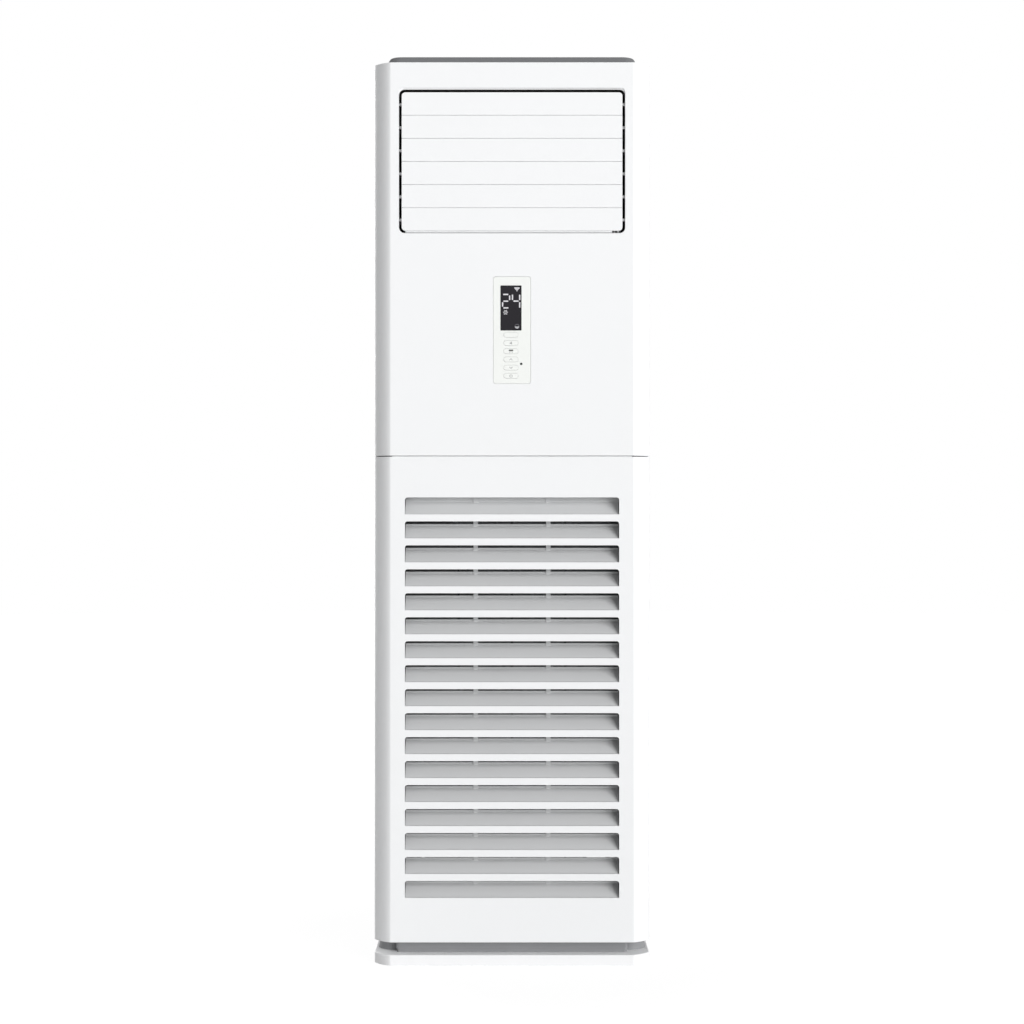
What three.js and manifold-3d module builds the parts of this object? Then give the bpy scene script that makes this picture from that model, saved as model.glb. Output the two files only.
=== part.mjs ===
// Floor-standing cabinet air conditioner, in millimetres.
// +Z is up, the front looks along -Y, and the origin is the centre of the base's underside.
import * as THREE from 'three';
import { mergeVertices } from 'three/addons/utils/BufferGeometryUtils.js';
import Module from 'manifold-3d';

const wasm = await Module();
wasm.setup();

// ---------------------------------------------------------------- driving dimensions

// Cabinet shell
const cabinetWidth = 540;
const cabinetHeight = 1780;
const cabinetDepth = 400;
const frontCornerRadius = 34;
const frontCornerPower = 1.4;
const frontCornerSteps = 8;
const backCornerRadius = 6;
const plasticWall = 3;
const sheetWall = 1.5;
const sheetFlange = 15;
const fitGap = 0.3;
const pivotGap = 0.5;

// How finely round forms are cut
const pinSides = 8;
const rodSides = 12;
const boreSides = 16;
const canSides = 20;
const discSides = 30;
const wheelSides = 44;
const hexSides = 6;

// Base plate and plinth
const baseHeight = 21;
const baseRimWidth = 12;
const ribWall = 2;
const plinthHeight = 24;
const plinthSideSetback = 10;
const plinthFlare = 5;
const plinthFrontSetback = 25;
const plinthBlockWidth = 455;
const plinthBlockDepth = 26;
const plinthBackSetback = 8;

// Front panels
const lowerPanelHeight = 948;
const seamHeight = 2;
const panelReturnDepth = 62;
const panelFootGap = 0.5;
const seamChamfer = 4;

// Top cap
const capHeight = 18;
const capSideSetback = 22;
const capFrontSetback = 26;
const capBackSetback = 36;
const capTaper = 8;
const capRimWidth = 12;
const capCornerRadius = 24;

// Air outlet with its level louvres
const outletSideMargin = 49.5;
const outletTopMargin = 53;
const outletCornerRadius = 11;
const outletChamfer = 5;
const ductWall = 2.5;
const ductDepth = 137;
const louvreCount = 6;
const louvrePitch = 45.1;
const louvreEdgeGap = 0.8;
const louvreEndGap = 5;
const louvreCornerRadius = 7;
const louvreSideGap = 5.5;
const louvreThickness = 6;
const louvrePivotDepth = 10;
const louvrePinRadius = 3;
const louvreEdge = 2;
const louvreNose = 0.6;
const louvreLug = 5;
const louvreCrankY = 16;
const louvreCrankZ = -23;
const crankPlate = 3;
const crankWidth = 6;
const crankFromEnd = 16;
const linkPinRadius = 2;
const linkWidth = 7;
const linkThickness = 3;
const gearboxWidth = 10;
const gearboxHeight = 22;
const gearboxDepth = 46;
const smallMotorRadius = 14;
const smallMotorLength = 20;
const smallMotorEarReach = 21;
const motorSocketDepth = 8;

// Upright guide vanes
const vaneCount = 7;
const vaneFront = 30;
const vaneBack = 25;
const vaneThickness = 2;
const vanePivotDepth = 88;
const vanePinRadius = 2.5;
const vaneEndGap = 2;
const vaneCrank = 38;
const vaneTabHeight = 6;
const vaneTabWidth = 7;

// Control bezel, display and buttons
const bezelWidth = 73;
const bezelHeight = 208.6;
const bezelBelowOutlet = 84.4;
const bezelCornerRadius = 5;
const bezelRecess = 0.5;
const bezelThickness = 5;
const bezelLip = 3;
const displayWidth = 41.3;
const displayHeight = 88;
const displayTopMargin = 17;
const displayShift = -2;
const buttonCount = 6;
const buttonWidth = 29;
const buttonHeight = 10.4;
const buttonPitch = 16;
const firstButtonBelowBezelTop = 113.4;
const buttonProud = 0.4;
const buttonLip = 1;
const buttonLipThickness = 1.2;
const buttonTravel = 1;
const receiverShift = 18;
const receiverBelowBezelTop = 170;
const receiverRadius = 2.1;
const boardThickness = 1.6;
const boardStandoff = 6.5;
const boardMargin = 4;
const switchSize = 6;
const bossRadius = 3;
const bossInset = 8;

// Intake grille
const slotCount = 17;
const slotHeight = 33.1;
const slotBarHeight = 13.66;
const slotSideMargin = 61;
const slotsBelowTop = 79.5;
const slotTopRadius = 5;
const slotFootRadius = 1;
const bladeWall = 2;
const bladeDepth = 29;
const bladeTopGap = 9;
const bladeLip = 3.5;
const grilleRibShift = 71.3;
const grilleRibWidth = 8.8;
const grilleRibDepth = 4;
const filterFrameWidth = 14;
const filterThickness = 7;
const filterColumns = 4;
const filterRows = 8;
const filterBar = 4;

// Fan
const fanCentreAbovePlinth = 405;
const wheelSideMargin = 120;
const wheelWidth = 130;
const wheelBladeDepth = 28;
const wheelBladeCount = 30;
const wheelBladeLean = 8;
const wheelBladeWall = 1.6;
const wheelPlate = 2.5;
const wheelRingWidth = 22;
const scrollTongueGap = 10;
const scrollGrowth = 63;
const scrollWall = 2;
const scrollTongueAngle = 105;
const scrollTongueLead = 5.7;
const scrollTongueSlope = 1.3;
const scrollSteps = 28;
const scrollFrontDepth = 148;
const wheelFrontGap = 12;
const wheelBackGap = 18;
const inletMouthOverlap = 25;
const inletFlangeSideMargin = 28;
const inletFlangeEndMargin = 74;
const inletHornDepth = 10;
const inletHornFlare = 14;
const motorRadius = 60;
const motorFrontDepth = 57;
const motorLength = 100;
const motorRimDepth = 12;
const motorRimInset = 8;
const shaftRadius = 8;
const shaftBearingDepth = 18;
const bracketArmShift = 25;
const bracketArmWidth = 10;
const bracketPlate = 3;
const bracketDiscRadius = 46;
const bracketEndMargin = 9;
const inletHoleRadius = 5;
const inletHoleSpread = 39;
const inletHoleDrop = 12;
const hubRadius = 28;
const hubLength = 8;
const hubNutRadius = 14;

// Coil, drain and pipes
const deckBelowSeam = 33;
const coilSideMargin = 65;
const coilLength = 440;
const coilThickness = 57;
const coilTilt = 30;
const coilFootDepth = 104;
const coilEndPlate = 2;
const coilEndLip = 5;
const coilBendCount = 7;
const coilFirstBend = 0.3;
const coilBendRadius = 12;
const coilTubeRadius = 4;
const coilHeaderRadius = 8;
const panFrontDepth = 66;
const panBackDepth = 160;
const panHeight = 40;
const panWall = 2;
const panEndMargin = 12;
const spoutLength = 12;
const spoutBore = 4;
const gasPipeRadius = 9.5;
const liquidPipeRadius = 5;
const hoseRadius = 8;
const pipeSideMargin = 23;
const pipeEndSpread = 14;
const pipeEndRise = 12;
const gasPipeY = 60;
const liquidPipeY = 20;
const hosePipeY = -90;
const pipeHoleGap = 3;
const exitSideMargin = 80;
const exitHeight = 150;
const exitRadius = 35;
const grommetWall = 4;
const grommetLip = 4;
const cableHoleRadius = 11;
const pipeEndBack = 14;

// Control box, rail and wall bracket
const railHeight = 22;
const railDepth = 40;
const railSideMargin = 10;
const boxWidth = 300;
const boxHeight = 310;
const boxDepth = 50;
const boxWall = 1.5;
const boxFrontDepth = 22;
const boxVentCount = 4;
const boxVentWidth = 60;
const boxVentHeight = 5;
const terminalWidth = 90;
const terminalDepth = 24;
const terminalHeight = 26;
const terminalWays = 5;
const terminalWall = 2;
const bracketWidth = 100;
const bracketFoot = 28;
const bracketHoleShift = 35;
const bracketHoleRadius = 2.6;
const screwHeadRadius = 5;

// ---------------------------------------------------------------- places worked out from them

const halfWidth = cabinetWidth / 2;
const frontY = -cabinetDepth / 2;
const backY = cabinetDepth / 2;
const plinthTopZ = baseHeight + plinthHeight;
const seamZ = plinthTopZ + lowerPanelHeight;
const upperPanelZ = seamZ + seamHeight;
const roofZ = cabinetHeight - capHeight;
const panelInnerY = frontY + plasticWall;
const returnBackY = frontY + panelReturnDepth;
const steelFrontY = returnBackY + fitGap;
const steelInnerX = halfWidth - sheetWall;
const backInnerY = backY - sheetWall;
const cut = 1;

const outletHalfWidth = halfWidth - outletSideMargin;
const outletTopZ = roofZ - outletTopMargin;
const outletHeight = louvreCount * louvrePitch + 2 * louvreEndGap;
const outletBottomZ = outletTopZ - outletHeight;
const outletCentreZ = (outletTopZ + outletBottomZ) / 2;
const ductFrontY = panelInnerY + fitGap;
const ductBackY = ductFrontY + ductDepth;
const vanePitch = (2 * outletHalfWidth) / (vaneCount + 1);

const bezelTopZ = outletBottomZ - bezelBelowOutlet;
const bezelCentreZ = bezelTopZ - bezelHeight / 2;
const bezelFrontY = frontY + bezelRecess;
const bezelBackY = bezelFrontY + bezelThickness;
const boardFrontY = bezelBackY + boardStandoff;

const fanZ = plinthTopZ + fanCentreAbovePlinth;
const wheelRadius = halfWidth - wheelSideMargin;
const wheelBladeInner = wheelRadius - wheelBladeDepth;
const inletRadius = wheelRadius - inletMouthOverlap;
const inletFlangeHalfWidth = wheelRadius + inletFlangeSideMargin;
const inletFlangeHalfHeight = wheelRadius + inletFlangeEndMargin;
const scrollFrontY = frontY + scrollFrontDepth;
const wheelFrontY = scrollFrontY + scrollWall + wheelFrontGap;
const wheelBackY = wheelFrontY + wheelWidth;
const scrollBackY = wheelBackY + wheelBackGap;

const deckZ = seamZ - deckBelowSeam;
const deckTopZ = deckZ + sheetWall;
const coilHalfWidth = halfWidth - coilSideMargin;
const exitX = halfWidth - exitSideMargin;

// ---------------------------------------------------------------- finishes

const finishes = {
  whitePanel: { color: 0xf4f5f6, roughness: 0.42, metalness: 0 },
  whiteSteel: { color: 0xeff0f1, roughness: 0.5, metalness: 0.1 },
  greyCap: { color: 0x77787a, roughness: 0.6, metalness: 0 },
  greyPlinth: { color: 0x8b8c8e, roughness: 0.6, metalness: 0.1 },
  bezel: { color: 0xf4f6f3, roughness: 0.3, metalness: 0 },
  display: { color: 0x242227, roughness: 0.12, metalness: 0 },
  board: { color: 0x2f6b46, roughness: 0.6, metalness: 0 },
  galvanised: { color: 0xb4b7ba, roughness: 0.45, metalness: 0.8 },
  blackPlastic: { color: 0x2b2c2e, roughness: 0.6, metalness: 0 },
  wheel: { color: 0x5d6165, roughness: 0.55, metalness: 0 },
  motor: { color: 0x8f9296, roughness: 0.45, metalness: 0.6 },
  steel: { color: 0xc7c9cc, roughness: 0.3, metalness: 0.9 },
  fins: { color: 0xb9c4cf, roughness: 0.4, metalness: 0.8 },
  copper: { color: 0xb8683c, roughness: 0.35, metalness: 0.9 },
  foam: { color: 0xe4e4e0, roughness: 0.9, metalness: 0 },
  hose: { color: 0xd2d4d3, roughness: 0.6, metalness: 0 },
  rubber: { color: 0x2a2a2a, roughness: 0.85, metalness: 0 },
};

// ---------------------------------------------------------------- shaping tools

// Turns a closed three.js geometry into a solid that can be joined and cut.
function solidOf(geometry) {
  geometry.deleteAttribute('normal');
  geometry.deleteAttribute('uv');
  const merged = mergeVertices(geometry);
  return new wasm.Manifold(new wasm.Mesh({
    numProp: 3,
    vertProperties: new Float32Array(merged.attributes.position.array),
    triVerts: new Uint32Array(merged.index.array),
  }));
}

function geometryOf(solid) {
  const mesh = solid.getMesh();
  const geometry = new THREE.BufferGeometry();
  geometry.setAttribute('position', new THREE.BufferAttribute(mesh.vertProperties, 3));
  geometry.setIndex(new THREE.BufferAttribute(mesh.triVerts, 1));
  geometry.computeVertexNormals();
  return geometry;
}

function join(solids) {
  return solids.reduce((whole, next) => whole.add(next));
}

function cutAll(solid, cutters) {
  return cutters.reduce((whole, cutter) => whole.subtract(cutter), solid);
}

// A rectangular block between two opposite corners.
function block(low, high) {
  const [x0, y0, z0] = low;
  const [x1, y1, z1] = high;
  const geometry = new THREE.BoxGeometry(x1 - x0, y1 - y0, z1 - z0);
  return solidOf(geometry.translate((x0 + x1) / 2, (y0 + y1) / 2, (z0 + z1) / 2));
}

// A round rod between two points.
function rod(start, end, radius, sides = rodSides) {
  const from = new THREE.Vector3(...start);
  const span = new THREE.Vector3(...end).sub(from);
  const geometry = new THREE.CylinderGeometry(radius, radius, span.length(), sides);
  geometry.translate(0, span.length() / 2, 0);
  const turn = new THREE.Quaternion();
  turn.setFromUnitVectors(new THREE.Vector3(0, 1, 0), span.clone().normalize());
  geometry.applyQuaternion(turn);
  return solidOf(geometry.translate(from.x, from.y, from.z));
}

function cornerArc(shape, x, y, radius, startAngle) {
  if (radius > 0) {
    shape.absarc(x, y, radius, startAngle, startAngle + Math.PI / 2, false);
  } else {
    shape.lineTo(x, y);
  }
}

// A rectangle between two corners, with its own radius on its two low and two high corners.
function outline(x0, y0, x1, y1, lowRadius, highRadius = lowRadius) {
  const shape = new THREE.Shape();
  shape.moveTo(x0 + lowRadius, y0);
  cornerArc(shape, x1 - lowRadius, y0 + lowRadius, lowRadius, -Math.PI / 2);
  cornerArc(shape, x1 - highRadius, y1 - highRadius, highRadius, 0);
  cornerArc(shape, x0 + highRadius, y1 - highRadius, highRadius, Math.PI / 2);
  cornerArc(shape, x0 + lowRadius, y0 + lowRadius, lowRadius, Math.PI);
  return shape;
}

// The cabinet's corner: flatter than a circle in its middle, with a soft crease at both ends.
function softCorner(shape, x, y, radius, startAngle) {
  for (let step = 0; step <= frontCornerSteps; step += 1) {
    const angle = startAngle + (Math.PI * step) / (2 * frontCornerSteps);
    const across = Math.abs(Math.cos(angle)) ** (2 / frontCornerPower);
    const along = Math.abs(Math.sin(angle)) ** (2 / frontCornerPower);
    shape.lineTo(x + Math.sign(Math.cos(angle)) * radius * across,
      y + Math.sign(Math.sin(angle)) * radius * along);
  }
}

// The cabinet's plan: soft corners in front and small round ones behind.
function cabinetPlan(halfX, y0, y1, radius, backRadius) {
  const shape = new THREE.Shape();
  shape.moveTo(-halfX + radius, y0);
  softCorner(shape, halfX - radius, y0 + radius, radius, -Math.PI / 2);
  cornerArc(shape, halfX - backRadius, y1 - backRadius, backRadius, 0);
  cornerArc(shape, -halfX + backRadius, y1 - backRadius, backRadius, Math.PI / 2);
  softCorner(shape, -halfX + radius, y0 + radius, radius, Math.PI);
  return shape;
}

function polygon(points) {
  return new THREE.Shape(points.map(([x, y]) => new THREE.Vector2(x, y)));
}

// A plan outline (X, Y) raised from one height to another.
function raisedForm(shape, z0, z1, arcSteps = 4) {
  const settings = { depth: z1 - z0, bevelEnabled: false, curveSegments: arcSteps };
  return new THREE.ExtrudeGeometry(shape, settings).translate(0, 0, z0);
}

function raised(shape, z0, z1, arcSteps = 4) {
  return solidOf(raisedForm(shape, z0, z1, arcSteps));
}

// A front outline (X, Z) carried from one depth to another.
function frontal(shape, y0, y1, arcSteps = 4) {
  const settings = { depth: y1 - y0, bevelEnabled: false, curveSegments: arcSteps };
  const geometry = new THREE.ExtrudeGeometry(shape, settings);
  return solidOf(geometry.rotateX(Math.PI / 2).translate(0, y1, 0));
}

// A side profile (Y, Z) carried from one side to the other.
function sideways(shape, x0, x1) {
  const settings = { depth: x1 - x0, bevelEnabled: false };
  const geometry = new THREE.ExtrudeGeometry(shape, settings).translate(0, 0, x0);
  const turn = new THREE.Matrix4().makeBasis(
    new THREE.Vector3(0, 1, 0),
    new THREE.Vector3(0, 0, 1),
    new THREE.Vector3(1, 0, 0),
  );
  return solidOf(geometry.applyMatrix4(turn));
}

// Widens a form away from the Z axis: nothing at one height, the given amount at another.
function flared(form, halfX, halfY, plainZ, flaredZ, amount) {
  const points = form.attributes.position;
  for (let index = 0; index < points.count; index += 1) {
    const share = (points.getZ(index) - plainZ) / (flaredZ - plainZ);
    points.setX(index, points.getX(index) * (1 + (share * amount) / halfX));
    points.setY(index, points.getY(index) * (1 + (share * amount) / halfY));
  }
  return solidOf(form);
}

// A round tube along a smooth curve through points.
function pipe(points, radius, steps) {
  const curve = new THREE.CatmullRomCurve3(points.map((point) => new THREE.Vector3(...point)));
  const ring = new THREE.Shape();
  ring.absarc(0, 0, radius, 0, Math.PI * 2, false);
  const settings = { steps, extrudePath: curve, curveSegments: 3 };
  return solidOf(new THREE.ExtrudeGeometry(ring, settings));
}

const unit = new THREE.Group();

function place(name, solid, finish, position = [0, 0, 0], tilt = 0) {
  const mesh = new THREE.Mesh(geometryOf(solid), new THREE.MeshStandardMaterial(finish));
  mesh.name = name;
  mesh.position.set(...position);
  mesh.rotation.x = tilt;
  unit.add(mesh);
  return mesh;
}

// Upright and crosswise ribs that divide a hollow into equal cells.
function ribs(halfX, y0, y1, z0, z1, columns, rows) {
  const bars = [];
  for (let column = 1; column < columns; column += 1) {
    const x = -halfX + (2 * halfX * column) / columns;
    bars.push(block([x - ribWall / 2, y0, z0], [x + ribWall / 2, y1, z1]));
  }
  for (let row = 1; row < rows; row += 1) {
    const y = y0 + ((y1 - y0) * row) / rows;
    bars.push(block([-halfX, y - ribWall / 2, z0], [halfX, y + ribWall / 2, z1]));
  }
  return join(bars);
}

// ---------------------------------------------------------------- base and plinth

// Folded steel base plate, ribbed below.
function basePlate() {
  const slab = raised(cabinetPlan(halfWidth, frontY, backY, frontCornerRadius, backCornerRadius),
    0, baseHeight);
  const rim = baseRimWidth;
  const hollow = raised(cabinetPlan(halfWidth - rim, frontY + rim, backY - rim,
    frontCornerRadius - rim, 0), -cut, baseHeight - ribWall);
  const stiffeners = ribs(halfWidth, frontY, backY, -2 * cut, baseHeight, 4, 3);
  return slab.subtract(hollow.subtract(stiffeners));
}

// Recessed grey plinth: a flared body with a block that stands forward in the middle.
function plinth() {
  const sideX = halfWidth - plinthSideSetback;
  const blockFrontY = frontY + plinthFrontSetback;
  const bodyFrontY = blockFrontY + plinthBlockDepth;
  const bodyBackY = backY - plinthBackSetback;
  const bodyForm = raisedForm(cabinetPlan(sideX, bodyFrontY, bodyBackY, frontCornerRadius,
    backCornerRadius), baseHeight, plinthTopZ);
  const body = flared(bodyForm, sideX, cabinetDepth / 2, plinthTopZ, baseHeight, plinthFlare);
  const blockX = plinthBlockWidth / 2;
  const front = raised(outline(-blockX, blockFrontY, blockX, bodyFrontY + frontCornerRadius,
    backCornerRadius, 0), baseHeight, plinthTopZ, 2);
  const rim = baseRimWidth;
  const hollowX = sideX - rim;
  const hollowFrontY = bodyFrontY + rim;
  const hollow = raised(outline(-hollowX, hollowFrontY, hollowX, bodyBackY - rim,
    frontCornerRadius - rim, 0), baseHeight - cut, plinthTopZ - ribWall);
  const stiffeners = ribs(hollowX, hollowFrontY, bodyBackY, baseHeight - 2 * cut, plinthTopZ, 4, 3);
  return body.add(front).subtract(hollow.subtract(stiffeners));
}

place('base_plate', basePlate(), finishes.whiteSteel);
place('plinth', plinth(), finishes.greyPlinth);

// ---------------------------------------------------------------- steel sides, back and roof

// One folded side, a channel whose flanges turn inward at the front and back.
function sidePanel(side) {
  const outer = side * halfWidth;
  const inner = side * steelInnerX;
  const flange = side * (halfWidth - sheetFlange);
  const rearY = backInnerY - fitGap;
  const channel = polygon([
    [outer, steelFrontY],
    [outer, rearY],
    [flange, rearY],
    [flange, rearY - sheetWall],
    [inner, rearY - sheetWall],
    [inner, steelFrontY + sheetWall],
    [flange, steelFrontY + sheetWall],
    [flange, steelFrontY],
  ]);
  return raised(channel, plinthTopZ, roofZ - sheetWall);
}

function backPanel() {
  const sheet = block([-halfWidth, backInnerY, plinthTopZ], [halfWidth, backY, roofZ - sheetWall]);
  return cutAll(sheet, [
    rod([exitX, backInnerY - cut, exitHeight], [exitX, backY + cut, exitHeight], exitRadius,
      discSides),
    rod([-exitX, backInnerY - cut, exitHeight], [-exitX, backY + cut, exitHeight],
      cableHoleRadius, boreSides),
  ]);
}

// Roof sheet whose sides turn down just inside the cabinet's sides.
function topPanel() {
  const lipX = steelInnerX - fitGap;
  const lipFrontY = steelFrontY + sheetFlange;
  const lipBackY = backInnerY - sheetFlange;
  const lipZ = roofZ - sheetFlange;
  const hollowX = lipX - sheetWall;
  const sheet = block([-halfWidth, steelFrontY, roofZ - sheetWall], [halfWidth, backY, roofZ]);
  const pan = block([-lipX, lipFrontY, lipZ], [lipX, lipBackY, roofZ - sheetWall / 2]);
  const hollow = block([-hollowX, lipFrontY - cut, lipZ - cut],
    [hollowX, lipBackY + cut, roofZ - sheetWall]);
  return sheet.add(pan).subtract(hollow);
}

// Dark grey cap, drawn in towards its top and ribbed below.
function topCover() {
  const sideX = halfWidth - capSideSetback;
  const capFrontY = frontY + capFrontSetback;
  const capBackY = backY - capBackSetback;
  const capTopZ = roofZ + capHeight;
  const form = raisedForm(outline(-sideX, capFrontY, sideX, capBackY, capCornerRadius,
    backCornerRadius), roofZ, capTopZ, 5);
  const shell = flared(form, sideX, cabinetDepth / 2, roofZ, capTopZ, -capTaper);
  const rim = capRimWidth;
  const hollow = raised(outline(-sideX + rim, capFrontY + rim, sideX - rim, capBackY - rim,
    capCornerRadius - rim, 0), roofZ - cut, capTopZ - plasticWall);
  const stiffeners = ribs(sideX, capFrontY, capBackY, roofZ - 2 * cut, capTopZ, 4, 3);
  return shell.subtract(hollow.subtract(stiffeners));
}

// Angle that ties the cabinet to a wall, standing on the roof behind the cap.
function wallBracket() {
  const halfLength = bracketWidth / 2;
  const footFrontY = backY - bracketFoot;
  const bracketTopZ = roofZ + capHeight;
  const screwY = footFrontY + bracketFoot / 2;
  const angle = join([
    block([-halfLength, footFrontY, roofZ], [halfLength, backY, roofZ + sheetWall]),
    block([-halfLength, backY - sheetWall, roofZ], [halfLength, backY, bracketTopZ]),
  ]);
  const footHoles = [-bracketHoleShift, bracketHoleShift].map((x) => rod(
    [x, screwY, roofZ - cut],
    [x, screwY, roofZ + sheetWall + cut],
    bracketHoleRadius,
  ));
  const wallZ = roofZ + (capHeight + sheetWall) / 2;
  const wallHoles = [-bracketHoleShift, bracketHoleShift].map((x) => rod(
    [x / 2, backY - sheetWall - cut, wallZ],
    [x / 2, backY + cut, wallZ],
    bracketHoleRadius,
  ));
  return cutAll(angle, [...footHoles, ...wallHoles]);
}

function bracketScrew() {
  const headZ = sheetWall;
  const head = rod([0, 0, headZ], [0, 0, headZ + screwHeadRadius / 2], screwHeadRadius,
    boreSides);
  const shank = rod([0, 0, fitGap], [0, 0, headZ + fitGap], bracketHoleRadius - fitGap);
  return head.add(shank);
}

place('side_panel_left', sidePanel(-1), finishes.whiteSteel);
place('side_panel_right', sidePanel(1), finishes.whiteSteel);
place('back_panel', backPanel(), finishes.whiteSteel);
place('top_panel', topPanel(), finishes.whiteSteel);
place('top_cover', topCover(), finishes.greyCap);
place('wall_bracket', wallBracket(), finishes.galvanised);
[-bracketHoleShift, bracketHoleShift].forEach((x, index) => {
  const screwY = backY - bracketFoot / 2;
  place(`bracket_screw_${index + 1}`, bracketScrew(), finishes.steel, [x, screwY, roofZ]);
});

// Rubber bushes in the two holes of the back panel.
function bush(x, holeRadius, wall, sides) {
  const bodyRadius = holeRadius - fitGap;
  const boreRadius = bodyRadius - wall;
  const lipFrontY = backInnerY - fitGap - sheetWall;
  const body = rod([x, lipFrontY, exitHeight], [x, backY, exitHeight], bodyRadius, sides);
  const lip = rod([x, lipFrontY, exitHeight], [x, backInnerY - fitGap, exitHeight],
    holeRadius + grommetLip, sides);
  const bore = rod([x, lipFrontY - cut, exitHeight], [x, backY + cut, exitHeight],
    boreRadius, sides);
  return body.add(lip).subtract(bore);
}

place('pipe_grommet', bush(exitX, exitRadius, grommetWall, discSides), finishes.rubber);
place('cable_bush', bush(-exitX, cableHoleRadius, grommetWall, boreSides),
  finishes.rubber);

// ---------------------------------------------------------------- moulded front panels

// A shell that wraps round both front corners and is open behind.
function wrapShell(z0, z1) {
  const outer = raised(cabinetPlan(halfWidth, frontY, returnBackY, frontCornerRadius, 0), z0, z1);
  const inner = raised(cabinetPlan(halfWidth - plasticWall, panelInnerY, returnBackY + cut,
    frontCornerRadius - plasticWall, 0), z0 + plasticWall, z1 - plasticWall);
  return outer.subtract(inner);
}

// A cutter that is wider at the front face, for the bevelled rim of an opening.
function bevelledCutter(halfX, z0, z1, radius, chamfer) {
  const middleZ = (z0 + z1) / 2;
  const halfZ = (z1 - z0) / 2;
  const straight = frontal(outline(-halfX, z0, halfX, z1, radius), frontY - cut,
    panelInnerY + cut);
  const shape = outline(-halfX, -halfZ, halfX, halfZ, radius);
  const form = raisedForm(shape, 0, plasticWall);
  const points = form.attributes.position;
  for (let index = 0; index < points.count; index += 1) {
    const share = points.getZ(index) / plasticWall;
    points.setX(index, points.getX(index) * (1 + (share * chamfer) / halfX));
    points.setY(index, points.getY(index) * (1 + (share * chamfer) / halfZ));
  }
  form.rotateX(Math.PI / 2).translate(0, panelInnerY, middleZ);
  return straight.add(solidOf(form));
}

function upperFrontPanel() {
  const outlet = bevelledCutter(outletHalfWidth, outletBottomZ, outletTopZ, outletCornerRadius,
    outletChamfer);
  const halfX = bezelWidth / 2 + fitGap;
  const controls = frontal(outline(-halfX, bezelTopZ - bezelHeight - fitGap, halfX,
    bezelTopZ + fitGap, bezelCornerRadius), frontY - cut, panelInnerY + cut);
  return cutAll(wrapShell(upperPanelZ, roofZ), [outlet, controls]);
}

// Intake panel: a wrapped shell with level slots, and behind each slot a blade that rises
// backward and hides the inside.
function lowerFrontPanel() {
  const slotX = halfWidth - slotSideMargin;
  const slotPitch = slotHeight + slotBarHeight;
  const topSlotZ = seamZ - slotsBelowTop;
  const bladeBackY = frontY + bladeDepth;
  const rise = slotHeight - bladeTopGap;
  const slots = [];
  const blades = [];
  for (let index = 0; index < slotCount; index += 1) {
    const highZ = topSlotZ - index * slotPitch;
    const lowZ = highZ - slotHeight;
    slots.push(frontal(outline(-slotX, lowZ, slotX, highZ, slotFootRadius, slotTopRadius),
      frontY - cut, panelInnerY + cut, 1));
    blades.push(sideways(polygon([
      [frontY + plasticWall / 2, lowZ - bladeWall],
      [bladeBackY, lowZ + rise - bladeWall],
      [bladeBackY, lowZ + rise + bladeLip],
      [bladeBackY - bladeWall, lowZ + rise + bladeLip],
      [bladeBackY - bladeWall, lowZ + rise],
      [frontY + plasticWall / 2, lowZ],
    ]), -slotX - bladeWall, slotX + bladeWall));
  }
  const lowZ = topSlotZ - (slotCount - 1) * slotPitch - slotHeight;
  const cheekZ = [lowZ - bladeWall, topSlotZ + bladeWall];
  const cheekY = [panelInnerY - plasticWall / 2, bladeBackY];
  const cheeks = [-1, 1].map((side) => {
    const near = side * slotX;
    const far = side * (slotX + 2 * bladeWall);
    return block([Math.min(near, far), cheekY[0], cheekZ[0]],
      [Math.max(near, far), cheekY[1], cheekZ[1]]);
  });
  const lid = block([-slotX - bladeWall, cheekY[0], topSlotZ],
    [slotX + bladeWall, bladeBackY, cheekZ[1]]);
  const lidBack = block([-slotX - bladeWall, bladeBackY - bladeWall, topSlotZ - bladeTopGap],
    [slotX + bladeWall, bladeBackY, cheekZ[1]]);
  const uprights = [-1, 1].map((side) => block(
    [side * grilleRibShift - grilleRibWidth / 2, bladeBackY - grilleRibDepth, cheekZ[0]],
    [side * grilleRibShift + grilleRibWidth / 2, bladeBackY, cheekZ[1]],
  ));
  const shell = cutAll(wrapShell(plinthTopZ + panelFootGap, seamZ), slots);
  const edge = sideways(polygon([
    [frontY - cut, seamZ - seamChamfer / 2 - cut],
    [frontY + seamChamfer + cut, seamZ + cut],
    [frontY - cut, seamZ + cut],
  ]), -halfWidth + frontCornerRadius, halfWidth - frontCornerRadius);
  return join([shell, ...blades, ...cheeks, lid, lidBack, ...uprights]).subtract(edge);
}

// Filter frame clipped to the back of the intake panel.
function filterFrame() {
  const halfX = halfWidth - slotSideMargin + filterFrameWidth;
  const filterFrontY = frontY + bladeDepth + fitGap;
  const slotPitch = slotHeight + slotBarHeight;
  const highZ = seamZ - slotsBelowTop + filterFrameWidth;
  const lowZ = highZ - (slotCount - 1) * slotPitch - slotHeight - 2 * filterFrameWidth;
  const filterBackY = filterFrontY + filterThickness;
  const sheet = block([-halfX, filterFrontY, lowZ], [halfX, filterBackY, highZ]);
  const openWidth = 2 * (halfX - filterFrameWidth);
  const openHeight = highZ - lowZ - 2 * filterFrameWidth;
  const cells = [];
  for (let column = 0; column < filterColumns; column += 1) {
    for (let row = 0; row < filterRows; row += 1) {
      const x = -halfX + filterFrameWidth + (openWidth * column) / filterColumns;
      const z = lowZ + filterFrameWidth + (openHeight * row) / filterRows;
      cells.push(block(
        [x + filterBar / 2, filterFrontY - cut, z + filterBar / 2],
        [x + openWidth / filterColumns - filterBar / 2, filterBackY + cut,
          z + openHeight / filterRows - filterBar / 2],
      ));
    }
  }
  return cutAll(sheet, cells);
}

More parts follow.
